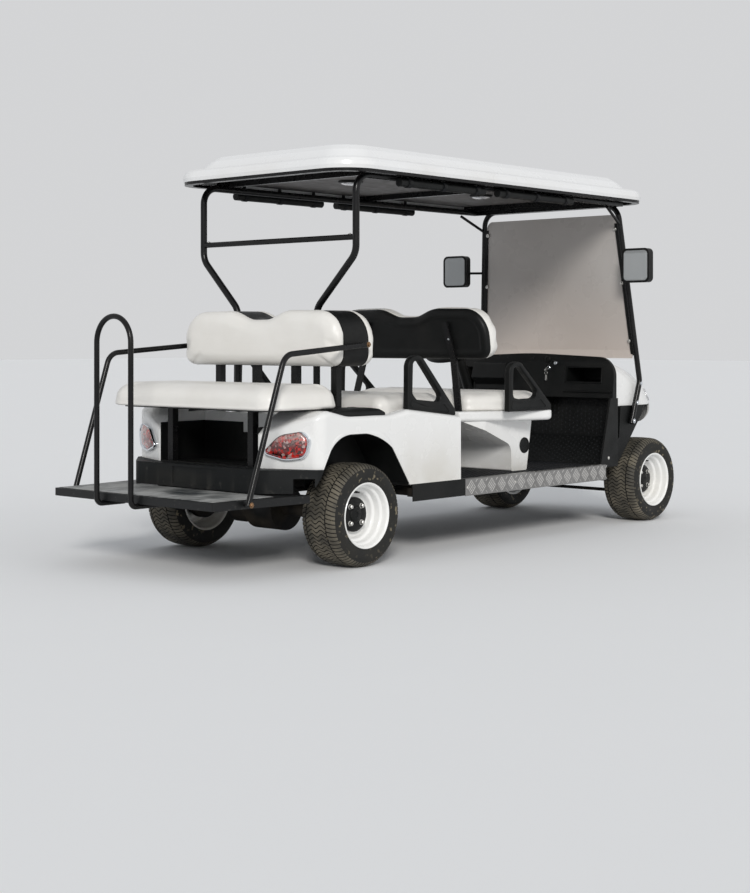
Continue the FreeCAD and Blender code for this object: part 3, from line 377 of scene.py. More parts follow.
def quads(rows, count, around=True, wrap=False, turned=False):
    """Faces over rows of count points: around closes each row, wrap joins the last row to the first."""
    faces = []
    for k in range(rows if wrap else rows - 1):
        m = (k + 1) % rows
        for i in range(count if around else count - 1):
            j = (i + 1) % count
            a, b, c, d = k * count + i, k * count + j, m * count + j, m * count + i
            faces.append((a, d, c, b) if turned else (a, b, c, d))
    return faces


def ends(rows, count, turned=False):
    """The first and the last row as faces."""
    first, last = tuple(range(count)), tuple(range((rows - 1) * count, rows * count))
    return [first, last[::-1]] if turned else [first[::-1], last]


def lathe(name, profile, centre, axis, steps, material, angle=0, closed=False):
    """Turned form: (radius, distance along axis) points turned about axis through centre."""
    turn = Vector((0, 0, 1)).rotation_difference(Vector(axis))
    points = []
    for i in range(steps):
        way = 2 * math.pi * i / steps
        for radius, along in profile:
            points.append(Vector(centre) + turn @ Vector((radius * math.cos(way), radius * math.sin(way), along)))
    count = len(profile)
    faces = quads(steps, count, closed, True, True)
    if not closed:
        faces.append(tuple(i * count for i in reversed(range(steps))))
        faces.append(tuple(i * count + count - 1 for i in range(steps)))
    piece = mesh_object(name, points, faces, material)
    if angle:
        crisp(piece, angle)
    return piece


def rounded_outline(points, steps=10):
    """Closed outline of (a, b, corner radius) points with its corners as arcs."""
    outline = []
    for i, (a, b, radius) in enumerate(points):
        corner = Vector((a, b))
        before = (Vector(points[i - 1][:2]) - corner).normalized()
        after = (Vector(points[(i + 1) % len(points)][:2]) - corner).normalized()
        half = before.angle(after) / 2
        if radius <= 0 or half > math.radians(89.5):
            outline.append(corner)
            continue
        run = radius / math.tan(half)
        centre = corner + (before + after).normalized() * (radius / math.sin(half))
        start = corner + before * run - centre
        sweep = start.angle_signed(corner + after * run - centre)
        for k in range(steps + 1):
            outline.append(centre + Matrix.Rotation(-sweep * k / steps, 2) @ start)
    return outline


def even(half):
    """Closed outline from its right half, (a, b, ...) with b below 0, mirrored to the left."""
    return half + [(a, -b, *rest) for a, b, *rest in reversed(half)]


def outward_normals(ring):
    """Unit normals of a closed (a, b) ring that runs either way, pointing out of it."""
    area = sum(ring[i - 1].x * ring[i].y - ring[i].x * ring[i - 1].y for i in range(len(ring)))
    normals = []
    for i in range(len(ring)):
        along = (ring[(i + 1) % len(ring)] - ring[i - 1]).normalized()
        normals.append(Vector((along.y, -along.x)) * (1 if area > 0 else -1))
    return normals


def stacked(name, outline, levels, matrix, material, angle=32):
    """Closed form over an outline: (height, how far drawn in) levels from its base to its top."""
    ring = rounded_outline(outline)
    normals = outward_normals(ring)
    points = []
    for height, inset in levels:
        for spot, normal in zip(ring, normals):
            points.append(matrix @ Vector((*(spot - normal * inset), height)))
    size = len(levels), len(ring)
    piece = mesh_object(name, points, quads(*size) + ends(*size), material)
    activate(piece)
    bpy.ops.object.mode_set(mode="EDIT")
    bpy.ops.mesh.select_all(action="SELECT")
    bpy.ops.mesh.normals_make_consistent(inside=False)
    bpy.ops.object.mode_set(mode="OBJECT")
    crisp(piece, angle)
    return piece


def slab(name, corners, way, thickness, material):
    """Flat plate over four or more corners in order, thickened along way."""
    offset = Vector(way).normalized() * thickness
    points = [Vector(c) for c in corners] + [Vector(c) + offset for c in corners]
    count = len(corners)
    piece = mesh_object(name, points, ends(2, count) + quads(2, count), material, False)
    bevel = piece.modifiers.new("bevel", "BEVEL")
    bevel.width = min(0.0015, thickness * 0.3)
    bevel.segments = 2
    apply_modifiers(piece)
    crisp(piece)
    return piece


def pipe(name, points, radius, material, sides=8):
    """Round bar along points, closed at both ends."""
    line = [Vector(p) for p in points]
    ring = []
    side = None
    for i, spot in enumerate(line):
        before = (spot - line[i - 1]).normalized() if i else None
        after = (line[i + 1] - spot).normalized() if i < len(line) - 1 else None
        way = (before + after).normalized() if before and after else (before or after)
        if side is None:
            side = way.orthogonal().normalized()
        side = (side - way * side.dot(way)).normalized()
        other = way.cross(side)
        reach = radius * min(1 / max(0.4, way.dot(after or before)), 1.3)
        for k in range(sides):
            turn = 2 * math.pi * k / sides
            ring.append(spot + (side * math.cos(turn) + other * math.sin(turn)) * reach)
    size = len(line), sides
    piece = mesh_object(name, ring, quads(*size) + ends(*size), material)
    crisp(piece, 40)
    return piece


def bolt(spot, way, radius, finish, sides=24):
    """Bolt head on its washer: six flats, or a dome where sides is 24. Profiles are in radii."""
    washer = ((1.5, 0), (1.52, 0.12), (1.4, 0.18), (0.0001, 0.19))
    if sides == 6:
        head = ((0.98, 0.18), (1, 0.24), (1, 0.8), (0.86, 0.92), (0.0001, 0.93))
    else:
        head = ((0.95, 0.12), (0.92, 0.34), (0.72, 0.6), (0.4, 0.74), (0.0001, 0.78))
    return [lathe("bolt", [(r * radius, h * radius) for r, h in form], spot, way, steps, finish, 30)
            for form, steps in ((washer, 20), (head, sides))]


def bolts(name, rows):
    """One piece from bolts given as (spot, way, radius, finish, sides)."""
    fit(name, [part for row in rows for part in bolt(*row)], "black_steel")


TREES = {}


def surface(node, start, way):
    """Where a ray from start first meets a CAD node at rest, and the outward normal there."""
    if node not in TREES:
        mesh = NODES[node].data
        TREES[node] = BVHTree.FromPolygons([v.co for v in mesh.vertices], [p.vertices for p in mesh.polygons])
    place, normal, _, _ = TREES[node].ray_cast(Vector(start), Vector(way))
    if place is None:
        raise ValueError("no surface of " + node + " from " + str(start))
    return place, -normal if normal.dot(Vector(way)) > 0 else normal


# Soft pieces

VOXEL = 0.0085
SIM_FRAMES = 20
# No point of a pad moves further than this when it is blown up
SWELL_CAP = 0.01


def pillow(name, outline, thickness, matrix, edge, under):
    """A stuffed form: flat at c = 0, crowned at c = thickness, its outline in (a, b), then placed by matrix."""
    levels = [(0, under), (under * 0.35, under * 0.25), (under, 0)]
    for k in range(8):
        turn = math.pi / 2 * k / 7
        levels.append((thickness - edge + edge * math.sin(turn), edge * (1 - math.cos(turn))))
    piece = stacked(name, outline, levels, Matrix.Identity(4), "vinyl")
    activate(piece)
    remesh = piece.modifiers.new("remesh", "REMESH")
    remesh.mode = "VOXEL"
    remesh.voxel_size = VOXEL
    apply_modifiers(piece)
    swell(piece)
    smooth = piece.modifiers.new("smooth", "SMOOTH")
    smooth.factor = 0.5
    smooth.iterations = 5
    fine = piece.modifiers.new("fine", "SUBSURF")
    fine.levels = fine.render_levels = 1
    apply_modifiers(piece)
    piece.data.transform(matrix)
    piece.data.polygons.foreach_set("use_smooth", [True] * len(piece.data.polygons))
    piece.data.materials.clear()
    piece.data.materials.append(MATERIALS["vinyl"])
    return piece


def swell(piece):
    """Blows the piece up as cloth under pressure, its flat base held."""
    start = [v.co.copy() for v in piece.data.vertices]
    held = piece.vertex_groups.new(name="held")
    held.add([i for i, co in enumerate(start) if co.z < VOXEL * 0.8], 1, "REPLACE")
    cloth = piece.modifiers.new("cloth", "CLOTH")
    cloth.settings.vertex_group_mass = "held"
    cloth.settings.use_pressure = True
    cloth.settings.uniform_pressure_force = 4
    cloth.settings.tension_stiffness = 30
    cloth.settings.compression_stiffness = 30
    cloth.settings.effector_weights.gravity = 0
    scene = bpy.context.scene
    for step in range(1, SIM_FRAMES + 1):
        scene.frame_set(step)
    apply_modifiers(piece)
    for vertex, before in zip(piece.data.vertices, start):
        move = vertex.co - before
        if move.length > SWELL_CAP:
            vertex.co = before + move * (SWELL_CAP / move.length)
    scene.frame_set(1)


def seat_cushions():
    """The three benches' seats."""
    low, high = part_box("middle_cushion")
    rear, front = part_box("seat_cushions")
    # Name, right half of the outline, height of the flat base, thickness, edge radius, node, body
    made = (
        ("middle_seat", [(low.x, -high.y, 0.07), (high.x, -high.y, 0.085)],
         low.z, 0.088, 0.045, "middle_cushion", "seat_lid"),
        ("rear_seat", [(rear.x - 0.009, -0.552, 0.11), (-1.065, -0.552, 0.075)],
         0.7042, 0.098, 0.062, "seat_cushions", "root"),
        ("front_seat", [(0.005, -0.385, 0.06), (0.18, -0.5, 0.2), (front.x, -0.54, 0.075)],
         0.6502, 0.086, 0.045, "seat_cushions", "root"),
    )
    for name, half, base, thickness, edge, node, body in made:
        pad = pillow(name, even(half), thickness, Matrix.Translation((0, 0, base)), edge, 0.012)
        keep(pad, "seat_vinyl", node, body=body)


# Row, facing, x of the shell's joint face, its foot's height, lean in degrees, and the shell's (depth, how far drawn
# in) levels. The middle row's shell closes the space to the rear row's, and wraps forward round its pad.
BACKRESTS = (
    ("rear", -1, -0.951, 0.884, 0, ((0, 0.003), (0.02, 0.003), (0.068, 0.003))),
    ("middle", 1, -0.917, 0.884, 0, ((-0.0338, 0.003), (0, 0.003), (0.058, 0.003))),
    ("front", 1, 0.02, 0.904, 8, (
        (0.005, 0.058), (0.0045, 0.052), (0.0015, 0.044), (0, 0.037), (0.0006, 0.028), (0.004, 0.015),
        (0.01, 0.007), (0.018, 0.003), (0.028, 0.002))),
)
# Width along a, height along b, from the dip in the top edge to the lower corner
BACK_HALF = [(0.062, 0.218, 0.15), (0.172, 0.262, 0.2), (0.518, 0.256, 0.142), (0.518, 0, 0.062)]
# Shell and pad together; the last 8 mm stand out past the depth of their solids
BACK_DEPTH = 0.106 + 0.008


def backrests():
    """Kidney-shaped pads on moulded shells. The front row's shell shows its dished back."""
    outline = BACK_HALF + [(-a, b, radius) for a, b, radius in reversed(BACK_HALF)]
    for row, facing, x, z, lean, levels in BACKRESTS:
        depth = levels[-1][0]
        upright = Matrix(((0, 0, facing, 0), (facing, 0, 0, 0), (0, 1, 0, 0), (0, 0, 0, 1)))
        place = Matrix.Translation((x, 0, z)) @ Matrix.Rotation(-math.radians(lean), 4, "Y") @ upright
        front = place @ Matrix.Translation((0, 0, depth + 0.0002))
        pad = pillow(row + "_back_pad", outline, BACK_DEPTH - depth, front, 0.036, 0.002)
        keep(pad, "seat_vinyl", "backrest_pads")
        shell = stacked(row + "_back_shell", outline, levels, place, "plastic", 50)
        keep(shell, "black_plastic", "backrest_shells")


# Wheels

TREAD_PITCHES = 72
TREAD_DEPTH = 0.0065
# Along one pitch of the tread: share of the pitch, and whether it is raised there
TREAD_STATIONS = ((0, True), (0.74, True), (0.79, False), (0.95, False))


def tyre_rows(half, radius):
    """Across the tyre from its middle out: distance, radius, groove depth, shift in pitches, whether all is groove."""
    rows = []
    edge = half * 0.53
    for k in range(11):
        v = edge * k / 10
        wave = 0.36 * math.cos(2 * math.pi * v / (edge * 1.02))
        rows.append((v, radius - 0.0012 * (v / edge) ** 2, TREAD_DEPTH, wave, False))
    rows.append((edge + 0.0012, radius - 0.002, TREAD_DEPTH, wave, True))
    rows.append((edge + 0.0048, radius - 0.002, TREAD_DEPTH, wave + 0.5, True))
    # Shoulder lugs, fading out down the side
    for v, drop, depth in ((edge + 0.006, 0.0018, TREAD_DEPTH), (half * 0.7, 0.0035, TREAD_DEPTH),
                           (half * 0.82, 0.009, 0.006), (half * 0.9, 0.0155, 0.0045),
                           (half * 0.955, 0.023, 0.0028), (half * 0.975, 0.0275, 0)):
        rows.append((v, radius - drop, depth, wave + 0.5 + (v - edge) * 14, False))
    # Sidewall, to the bead
    shift = rows[-1][3]
    for share, drop in ((0.985, 0.034), (0.992, 0.037), (0.999, 0.046), (1, 0.055), (0.985, 0.066), (0.975, 0.068),
                        (0.96, 0.076), (0.93, 0.083), (0.88, 0.0865)):
        rows.append((half * share, radius - drop, 0, shift, False))
    return rows


def tyre_piece(node, centre):
    low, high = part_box(node)
    rows = tyre_rows((high.y - low.y) / 2, (high.z - low.z) / 2)
    across = [(-v, *rest) for v, *rest in reversed(rows[1:])] + rows
    points = []
    raised = []
    for pitch in range(TREAD_PITCHES):
        for share, up in TREAD_STATIONS:
            for v, r, depth, shift, cut in across:
                turn = (pitch + share + shift) * 2 * math.pi / TREAD_PITCHES
                deep = depth if (cut or not up) else 0
                points.append(centre + Vector(((r - deep) * math.cos(turn), v, (r - deep) * math.sin(turn))))
                raised.append(deep == 0 and depth > 0)
    faces = quads(len(TREAD_STATIONS) * TREAD_PITCHES, len(across), True, True)
    piece = mesh_object(node.replace("tyre", "treaded_tyre"), points, faces, "tyre")
    piece.data.materials.append(MATERIALS["tread"])
    for face in piece.data.polygons:
        if all(raised[i] for i in face.vertices):
            face.material_index = 1
    crisp(piece, 30)
    return piece


def mm(*spots):
    """Points given in millimetres."""
    return [tuple(number * 0.001 for number in spot) for spot in spots]


# Radius and distance outboard of the wheel's middle: the outside of the dished rim, then its back
RIM_PROFILE = mm(
    (144, 93), (146.2, 95.5), (146.6, 98.5), (144.8, 100.5), (141.2, 99.8), (136.8, 95.5), (134.5, 89), (133.8, 74),
    (131.8, 69), (123.8, 65), (121.2, 60), (120.2, 40), (118, 34.5), (108.5, 31), (105.5, 26.5), (104.2, 10), (101, 4),
    (93, 0), (80, -3), (72, 1), (65.5, 12), (60, 16.5), (50, 17.5), (14.5, 17.5), (14.5, 12.5), (60, 12), (64, 7),
    (70, -4), (80, -8), (93, -7.2), (110, -2), (118, 5), (120.5, -20), (124, -60), (130, -68), (132.5, -80),
    (133.5, -90), (137, -96), (141.2, -99.8), (144.8, -100.5), (146.6, -98.5), (146.2, -95.5), (144, -93),
    (139.5, -89), (138, -80), (137, -74), (129, -64), (126, 20), (124.5, 56), (131, 64), (136.5, 70), (137.5, 80),
    (139.5, 89))
COVER_PROFILE = mm(
    (74, -1), (77, 1), (77.8, 18), (76.5, 23.5), (73, 26.2), (60, 28.5), (35, 29), (33, 33), (30, 35.2), (13, 36),
    (11, 33.5), (0.1, 33))
NUT_PROFILE = mm((12.5, 27.5), (12.8, 30), (9.8, 31.2), (9.6, 42), (7, 44.5), (0.1, 44.8))
VALVE_PROFILE = mm((5, 50), (5.2, 66), (3.5, 68), (3.2, 79), (0.1, 80))
NUT_CIRCLE = 0.052


def rim_piece(node, centre, side):
    axis = (0, side, 0)
    parts = [lathe("rim", RIM_PROFILE, centre, axis, 96, "rim", 40, closed=True),
             lathe("cover", COVER_PROFILE, centre, axis, 64, "plastic", 35),
             lathe("valve", VALVE_PROFILE, centre + Vector((-0.03, 0, 0.104)), axis, 12, "plastic")]
    for k in range(4):
        turn = math.radians(45 + 90 * k)
        spot = centre + NUT_CIRCLE * Vector((math.cos(turn), 0, math.sin(turn)))
        parts.append(lathe("nut", NUT_PROFILE, spot, axis, 6, "zinc", 20))
    return joined(node.replace("rim", "dished_rim"), parts)


def wheels():
    for end in ("front", "rear"):
        for side, word in SIDES:
            place = end + "_" + word
            low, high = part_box("tyre_" + place)
            centre = (low + high) / 2
            body = "wheel_" + place
            keep(tyre_piece("tyre_" + place, centre), "tyre", "tyre_" + place, body=body)
            keep(rim_piece("rim_" + place, centre, side), "rim_white", "rim_" + place, body=body)


# Lamps and moulded trim

def mound(name, ring, middle, levels, place, turned, first, material, angle):
    """Form over a ring that shrinks towards middle by (scale, ...) levels, set in space by place.

    first is the first end that is closed: 0 for both ends, 1 for the top alone, 2 for neither.
    """
    points = [place(middle + (spot - middle) * scale, *rest) for scale, *rest in levels for spot in ring]
    size = len(levels), len(ring)
    piece = mesh_object(name, points, quads(*size, turned=turned) + ends(*size, turned)[first:], material)
    crisp(piece, angle)
    return piece


LAMP = [(-0.124, -0.034, 0.016), (-0.038, 0.05, 0.1), (0.072, 0.068, 0.038), (0.112, 0.032, 0.04),
        (0.094, -0.05, 0.048), (-0.01, -0.064, 0.12)]
# Middle of the left lamp, on the body's rear corner; the way along that corner; the middle that the outline shrinks to
LAMP_PLACE = (-1.31712, 0.46114, 0.545)
LAMP_ALONG = (0.104, 0.262, 0)
LAMP_MIDDLE = Vector((0.012, 0.006))
# Scale, height over the panel, and how far shifted towards the lens's upper inner side
SURROUND = ((1, 0, 0), (1, 0.0125, 0), (0.985, 0.0165, 0), (0.955, 0.0175, 0.15), (0.915, 0.0165, 0.6),
            (0.895, 0.0115, 0.9), (0.885, 0.0105, 1))
LENS = ((0.884, 0.0106, 1), (0.872, 0.013, 1), (0.8, 0.0165, 1), (0.66, 0.02, 1), (0.48, 0.0225, 1),
        (0.28, 0.024, 1), (0.1, 0.0245, 1))


def tail_lamps():
    """Chrome surround, widest on its outer and lower side, round a faceted red lens."""
    along = Vector(LAMP_ALONG).normalized()
    out = Vector((-along.y, along.x, 0))
    ring = rounded_outline(LAMP)
    for side, word in SIDES:
        def place(flat, depth, shift):
            flat = flat + Vector((-0.0055, 0.0035)) * shift
            spot = Vector(LAMP_PLACE) + along * flat.x + out * depth
            return spot.x, spot.y * side, spot.z + flat.y

        for kind, levels, first, finish, slot in (("surround", SURROUND, 2, "chrome", "rim_white"),
                                                  ("lens", LENS, 1, "tail", "lamp_red")):
            name = "tail_lamp_" + kind + "_" + word
            keep(mound(name, ring, LAMP_MIDDLE, levels, place, side > 0, first, finish, 45), slot, "tail_lamps")


def tray_covers():
    """Black pleated covers over the trays beside the middle row."""
    ring = rounded_outline([(-1.18, 0.405, 0.04), (-0.83, 0.405, 0.06), (-0.812, 0.5, 0.06),
                            (-0.812, 0.585, 0.02), (-1.18, 0.585, 0.02)])
    middle = Vector((-0.985, 0.497))
    # Scale, height over the tray
    levels = ((1, 0), (1, 0.006), (0.985, 0.012), (0.94, 0.019), (0.84, 0.026), (0.66, 0.031), (0.44, 0.034),
              (0.22, 0.035), (0.05, 0.035))
    for side, word in SIDES:
        def place(flat, height):
            pleat = 0.0022 * math.sin(flat.x * 170 + 14 * flat.y) * min(1, height / 0.02)
            return flat.x, flat.y * side, 0.668 + height + pleat

        cover = mound("tray_cover_" + word, ring, middle, levels, place, side < 0, 0, "plastic", 50)
        keep(cover, "black_plastic", "tray_caps")


def crossing(ring, centre, way):
    """Furthest distance from centre at which the ray along way meets the ring."""
    best = 0
    for k, a in enumerate(ring):
        b = ring[(k + 1) % len(ring)]
        edge, gap = b - a, a - centre
        turn = way.x * edge.y - way.y * edge.x
        if abs(turn) < 1e-12:
            continue
        reach = (gap.x * edge.y - gap.y * edge.x) / turn
        share = (gap.x * way.y - gap.y * way.x) / turn
        if -1e-6 <= share <= 1 + 1e-6:
            best = max(best, reach)
    return best


def holed_plate(name, outer, inner, thickness, bevel, matrix):
    """Plastic plate with one opening, all its edges rounded. Outlines in (a, b), thickness along c."""
    rings = [rounded_outline(outline, 8) for outline in (outer, inner)]
    centre = sum(rings[1], Vector((0, 0))) / len(rings[1])
    angles = sorted({round(math.atan2(*(spot - centre).yx), 4) for ring in rings for spot in ring})
    ways = [Vector((math.cos(a), math.sin(a))) for a in angles]
    reach = [[crossing(ring, centre, way) for way in ways] for ring in rings]
    # Which ring, step into the material, height
    steps = []
    for side in (-1, 1):
        bend = [(bevel * (1 - math.cos(t)), side * (thickness / 2 - bevel + bevel * math.sin(t)))
                for t in (math.pi / 6 * k for k in range(4))]
        outside = [(0, inset, height) for inset, height in bend]
        inside = [(1, -inset, height) for inset, height in bend]
        steps += (inside + outside[::-1]) if side < 0 else (outside + inside[::-1])
    points = [matrix @ Vector((*(centre + way * (reach[which][i] - step)), height))
              for which, step, height in steps for i, way in enumerate(ways)]
    faces = quads(len(steps), len(ways), True, True, matrix.to_3x3().determinant() < 0)
    piece = mesh_object(name, points, faces, "plastic")
    crisp(piece, 40)
    return piece


def shoulder(x):
    """Height of the side panel's sloping shoulder."""
    (xa, za), (xb, zb) = (-0.673, 0.689), (-0.295, 0.6455)
    return za + (x - xa) * (zb - za) / (xb - xa)


def hip_restraints():
    """Moulded loops beside the middle and front rows, each with a sunk web at its foot."""
    for row, x0, z0, x1, z1 in (("middle", -0.666, shoulder(-0.666), -0.32, shoulder(-0.32)),
                                ("front", 0.1, 0.65, 0.455, 0.65)):
        top = z0 + 0.246
        outer = [(x0, z0, 0.004), (x0 + 0.004, top, 0.055), (x0 + 0.098, top, 0.06), (x1, z1 + 0.026, 0.014),
                 (x1, z1, 0.004)]
        inner = [(x0 + 0.034, z0 + 0.07, 0.024), (x0 + 0.037, top - 0.024, 0.026), (x0 + 0.086, top - 0.024, 0.03),
                 (x0 + 0.25, z1 + 0.086, 0.022), (x0 + 0.2, z1 + 0.062, 0.05), (x0 + 0.09, z1 + 0.06, 0.05)]
        web = [(x0 + 0.016, z0 + 0.01, 0.008), (x0 + 0.026, z0 + 0.058, 0.016), (x0 + 0.095, z1 + 0.044, 0.05),
               (x0 + 0.205, z1 + 0.046, 0.05), (x0 + 0.262, z1 + 0.066, 0.012), (x1 - 0.03, z1 + 0.01, 0.008)]
        middle = (x0 + 0.15, z1 + 0.026)
        hollow = [(a * 0.93 + 0.07 * middle[0], b * 0.76 + 0.24 * middle[1], r * 0.8) for a, b, r in web]
        for side, word in SIDES:
            parts = []
            for outline, hole, thickness, bevel, y in ((outer, inner, 0.035, 0.008, 0.5685),
                                                       (web, hollow, 0.004, 0.0015, 0.5862)):
                place = Matrix(((1, 0, 0, 0), (0, 0, 1, side * y), (0, 1, 0, 0), (0, 0, 0, 1)))
                parts.append(holed_plate("plate", outline, hole, thickness, bevel, place))
            fit("hip_restraint_" + row + "_" + word, parts, "black_plastic", "hip_restraints")


def spline(spots, steps):
    """Smooth curve through the spots."""
    made = []
    for k in range(len(spots) - 1):
        a, b, c, d = (Vector(spots[max(0, min(len(spots) - 1, k + m))]) for m in (-1, 0, 1, 2))
        for i in range(steps):
            t = i / steps
            bend = (2 * a - 5 * b + 4 * c - d) * t * t + (3 * b - 3 * c + d - a) * t ** 3
            made.append(0.5 * (2 * b + (c - a) * t + bend))
    return made + [Vector(spots[-1])]


# The rear wheel's arch from the side, rear to front: as the solid is cut (x, z, bend radius), and the edge of the lip
ARCH_MIDDLE = Vector((-0.985, 0.3))
ARCH_CUT = [(-1.323, 0.3, 0), (-1.16, 0.592, 0.09), (-0.84, 0.592, 0.12), (-0.64, 0.3, 0)]
ARCH_EDGE = [(-1.246, 0.44), (-1.222, 0.487), (-1.198, 0.524), (-1.168, 0.555), (-1.13, 0.578), (-1.085, 0.59),
             (-1.04, 0.5925), (-0.985, 0.5925), (-0.935, 0.585), (-0.871, 0.565), (-0.81, 0.533), (-0.764, 0.493),
             (-0.728, 0.448), (-0.697, 0.4), (-0.672, 0.348)]


def arch_lips():
    """Rounds off each rear wheel arch: a thin lip whose inner edge is the arch's curve."""
    cut = rounded_outline(ARCH_CUT, 24)
    sections = []
    for spot in spline(ARCH_EDGE, 6):
        way = (spot - ARCH_MIDDLE).normalized()
        reach = crossing(cut, ARCH_MIDDLE, way)
        near, far = min((spot - ARCH_MIDDLE).length, reach - 0.0005), reach + 0.006
        section = ((near, 0.5985), (near, 0.6004), (near + 0.0015, 0.6012), (far, 0.6012), (far + 0.001, 0.6004),
                   (far, 0.5985))
        sections.append([(ARCH_MIDDLE + way * r, y) for r, y in section])
    for side, word in SIDES:
        points = [(spot.x, side * y, spot.y) for section in sections for spot, y in section]
        faces = quads(len(sections), 6, turned=side < 0) + ends(len(sections), 6, side < 0)
        piece = mesh_object("arch_lip_" + word, points, faces, "body")
        crisp(piece, 40)
        keep(piece, "body_white")


def ridges(bars, origin, u, v, width, height):
    """Low raised bars on a face: each runs from (u, v) to (u, v) in metres from origin."""
    u, v = Vector(u), Vector(v)
    out = u.cross(v)
    points = []
    faces = []
    for ua, va, ub, vb in bars:
        start, end = Vector((ua, va)), Vector((ub, vb))
        along = (end - start).normalized() * width / 2
        across = Vector((-along.y, along.x))
        first = len(points)
        flat = (start - across, end - across, end + across, start + across, start + along, end - along)
        for k, spot in enumerate(flat):
            points.append(Vector(origin) + u * spot.x + v * spot.y + out * (height if k > 3 else -0.0002))
        faces += [tuple(first + i for i in face)
                  for face in ((0, 1, 5, 4), (2, 3, 4, 5), (1, 2, 5), (3, 0, 4), (0, 3, 2, 1))]
    return mesh_object("ridges", points, faces, "rubbed", False)


def sill_pattern():
    """Hatched lozenges pressed in the sills' sides and dashes along their top flanges."""
    low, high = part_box("sills")
    length = high.x - low.x
    pitch = 0.0795
    count = int(length / pitch)
    # Half a lozenge's height and width, and the height of its middle over the sill's foot
    tall, wide, centre = 0.033, 0.03, 0.04
    bars = []
    for k in range(count):
        middle = (k + 0.5) * pitch + 0.006
        for sign in (-1, 1):
            bars.append((middle - wide, centre, middle, centre + sign * tall))
            bars.append((middle + wide, centre, middle, centre + sign * tall))
        for share in (0.25, 0.5, 0.75):
            bars.append((middle - wide * (1 - share), centre - tall * share,
                         middle + wide * share, centre + tall * (1 - share)))
        # Short bars between two lozenges
        between = middle + pitch / 2
        bars.append((between - 0.008, 0.062, between + 0.006, 0.076))
        bars.append((between - 0.008, 0.018, between + 0.006, 0.004))
    mirrored = [(length - a, b, length - c, d) for a, b, c, d in bars]
    dashes = [(k * pitch / 2 + 0.012, 0.006 + 0.012 * (k % 2), k * pitch / 2 + 0.03, 0.03 - 0.012 * (k % 2))
              for k in range(2 * count)]
    for side, word in SIDES:
        # Bars, the x that they start from, and the lower edge of the flange's dashes in y
        shown, x, y = (mirrored, high.x, 0.562) if side > 0 else (bars, low.x, -0.598)
        face = ridges(shown, (x, side * 0.6, low.z), (-side, 0, 0), (0, 0, 1), 0.0042, 0.002)
        top = ridges(dashes, (low.x, y, high.z), (1, 0, 0), (0, 1, 0), 0.0035, 0.0012)
        fit("sill_lozenges_" + word, [face, top], "sill_aluminium")


STUD_PITCH = 0.026
STUD_HALF = 0.0055
STUD_HEIGHT = 0.0016


def studs(origin, u, v, length, width, left_out):
    """Staggered low four-sided studs over a flat area, except where left_out says."""
    u, v = Vector(u).normalized(), Vector(v).normalized()
    out = u.cross(v)
    form = quads(2, 4) + ends(2, 4)
    points = []
    faces = []
    for i in range(int(length / STUD_PITCH)):
        for j in range(int(width / STUD_PITCH)):
            a = (i + 0.5) * STUD_PITCH
            b = (j + 0.5 + 0.5 * (i % 2)) * STUD_PITCH
            if b > width - STUD_HALF or left_out(a, b):
                continue
            first = len(points)
            spot = Vector(origin) + u * a + v * b
            for da, db, rise in ((1, 1.6, -0.0001), (0.4, 0.7, STUD_HEIGHT)):
                across, along = u * STUD_HALF * da, v * STUD_HALF * db
                points += [spot + out * rise + step for step in (-across, -along, across, along)]
            faces += [tuple(first + m for m in face) for face in form]
    return mesh_object("studs", points, faces, "mat", False)


def floor_studs():
    """Studded rubber on the floor, and up the toe board but for the steering column."""
    pan_low, pan_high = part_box("floor_pan")
    x, y = pan_low.x + 0.04, -0.555

    def under_bench(a, b):
        return 0.285 < x + a < 0.435 and abs(y + b) < 0.46

    def at_column(a, b):
        return abs(a - 0.27) < 0.06

    sheets = [studs((x, y, pan_high.z), (1, 0, 0), (0, 1, 0), 0.925 - x, 1.11, under_bench)]
    # Foot, bend and head of the toe board
    board = [Vector((0.95, 0.54, 0.338)), Vector((1.122, 0.54, 0.478)), Vector((1.1395, 0.54, 0.686))]
    for foot, head in zip(board, board[1:]):
        sheets.append(studs(foot, (0, -1, 0), head - foot, 1.08, (head - foot).length, at_column))
    fit("floor_mat_studs", sheets, "floor_mat")


# The front hoop's left strut
HOOP_KNEE = Vector((1.338, 0.55, 0.776))
HOOP_TOP = Vector((1.25, 0.462, 1.752))


def hoop_spot(z, side, inward):
    """Point at height z beside a front strut, so far inward of its middle."""
    spot = HOOP_KNEE.lerp(HOOP_TOP, (z - HOOP_KNEE.z) / (HOOP_TOP.z - HOOP_KNEE.z))
    return Vector((spot.x, side * (spot.y - inward), z))


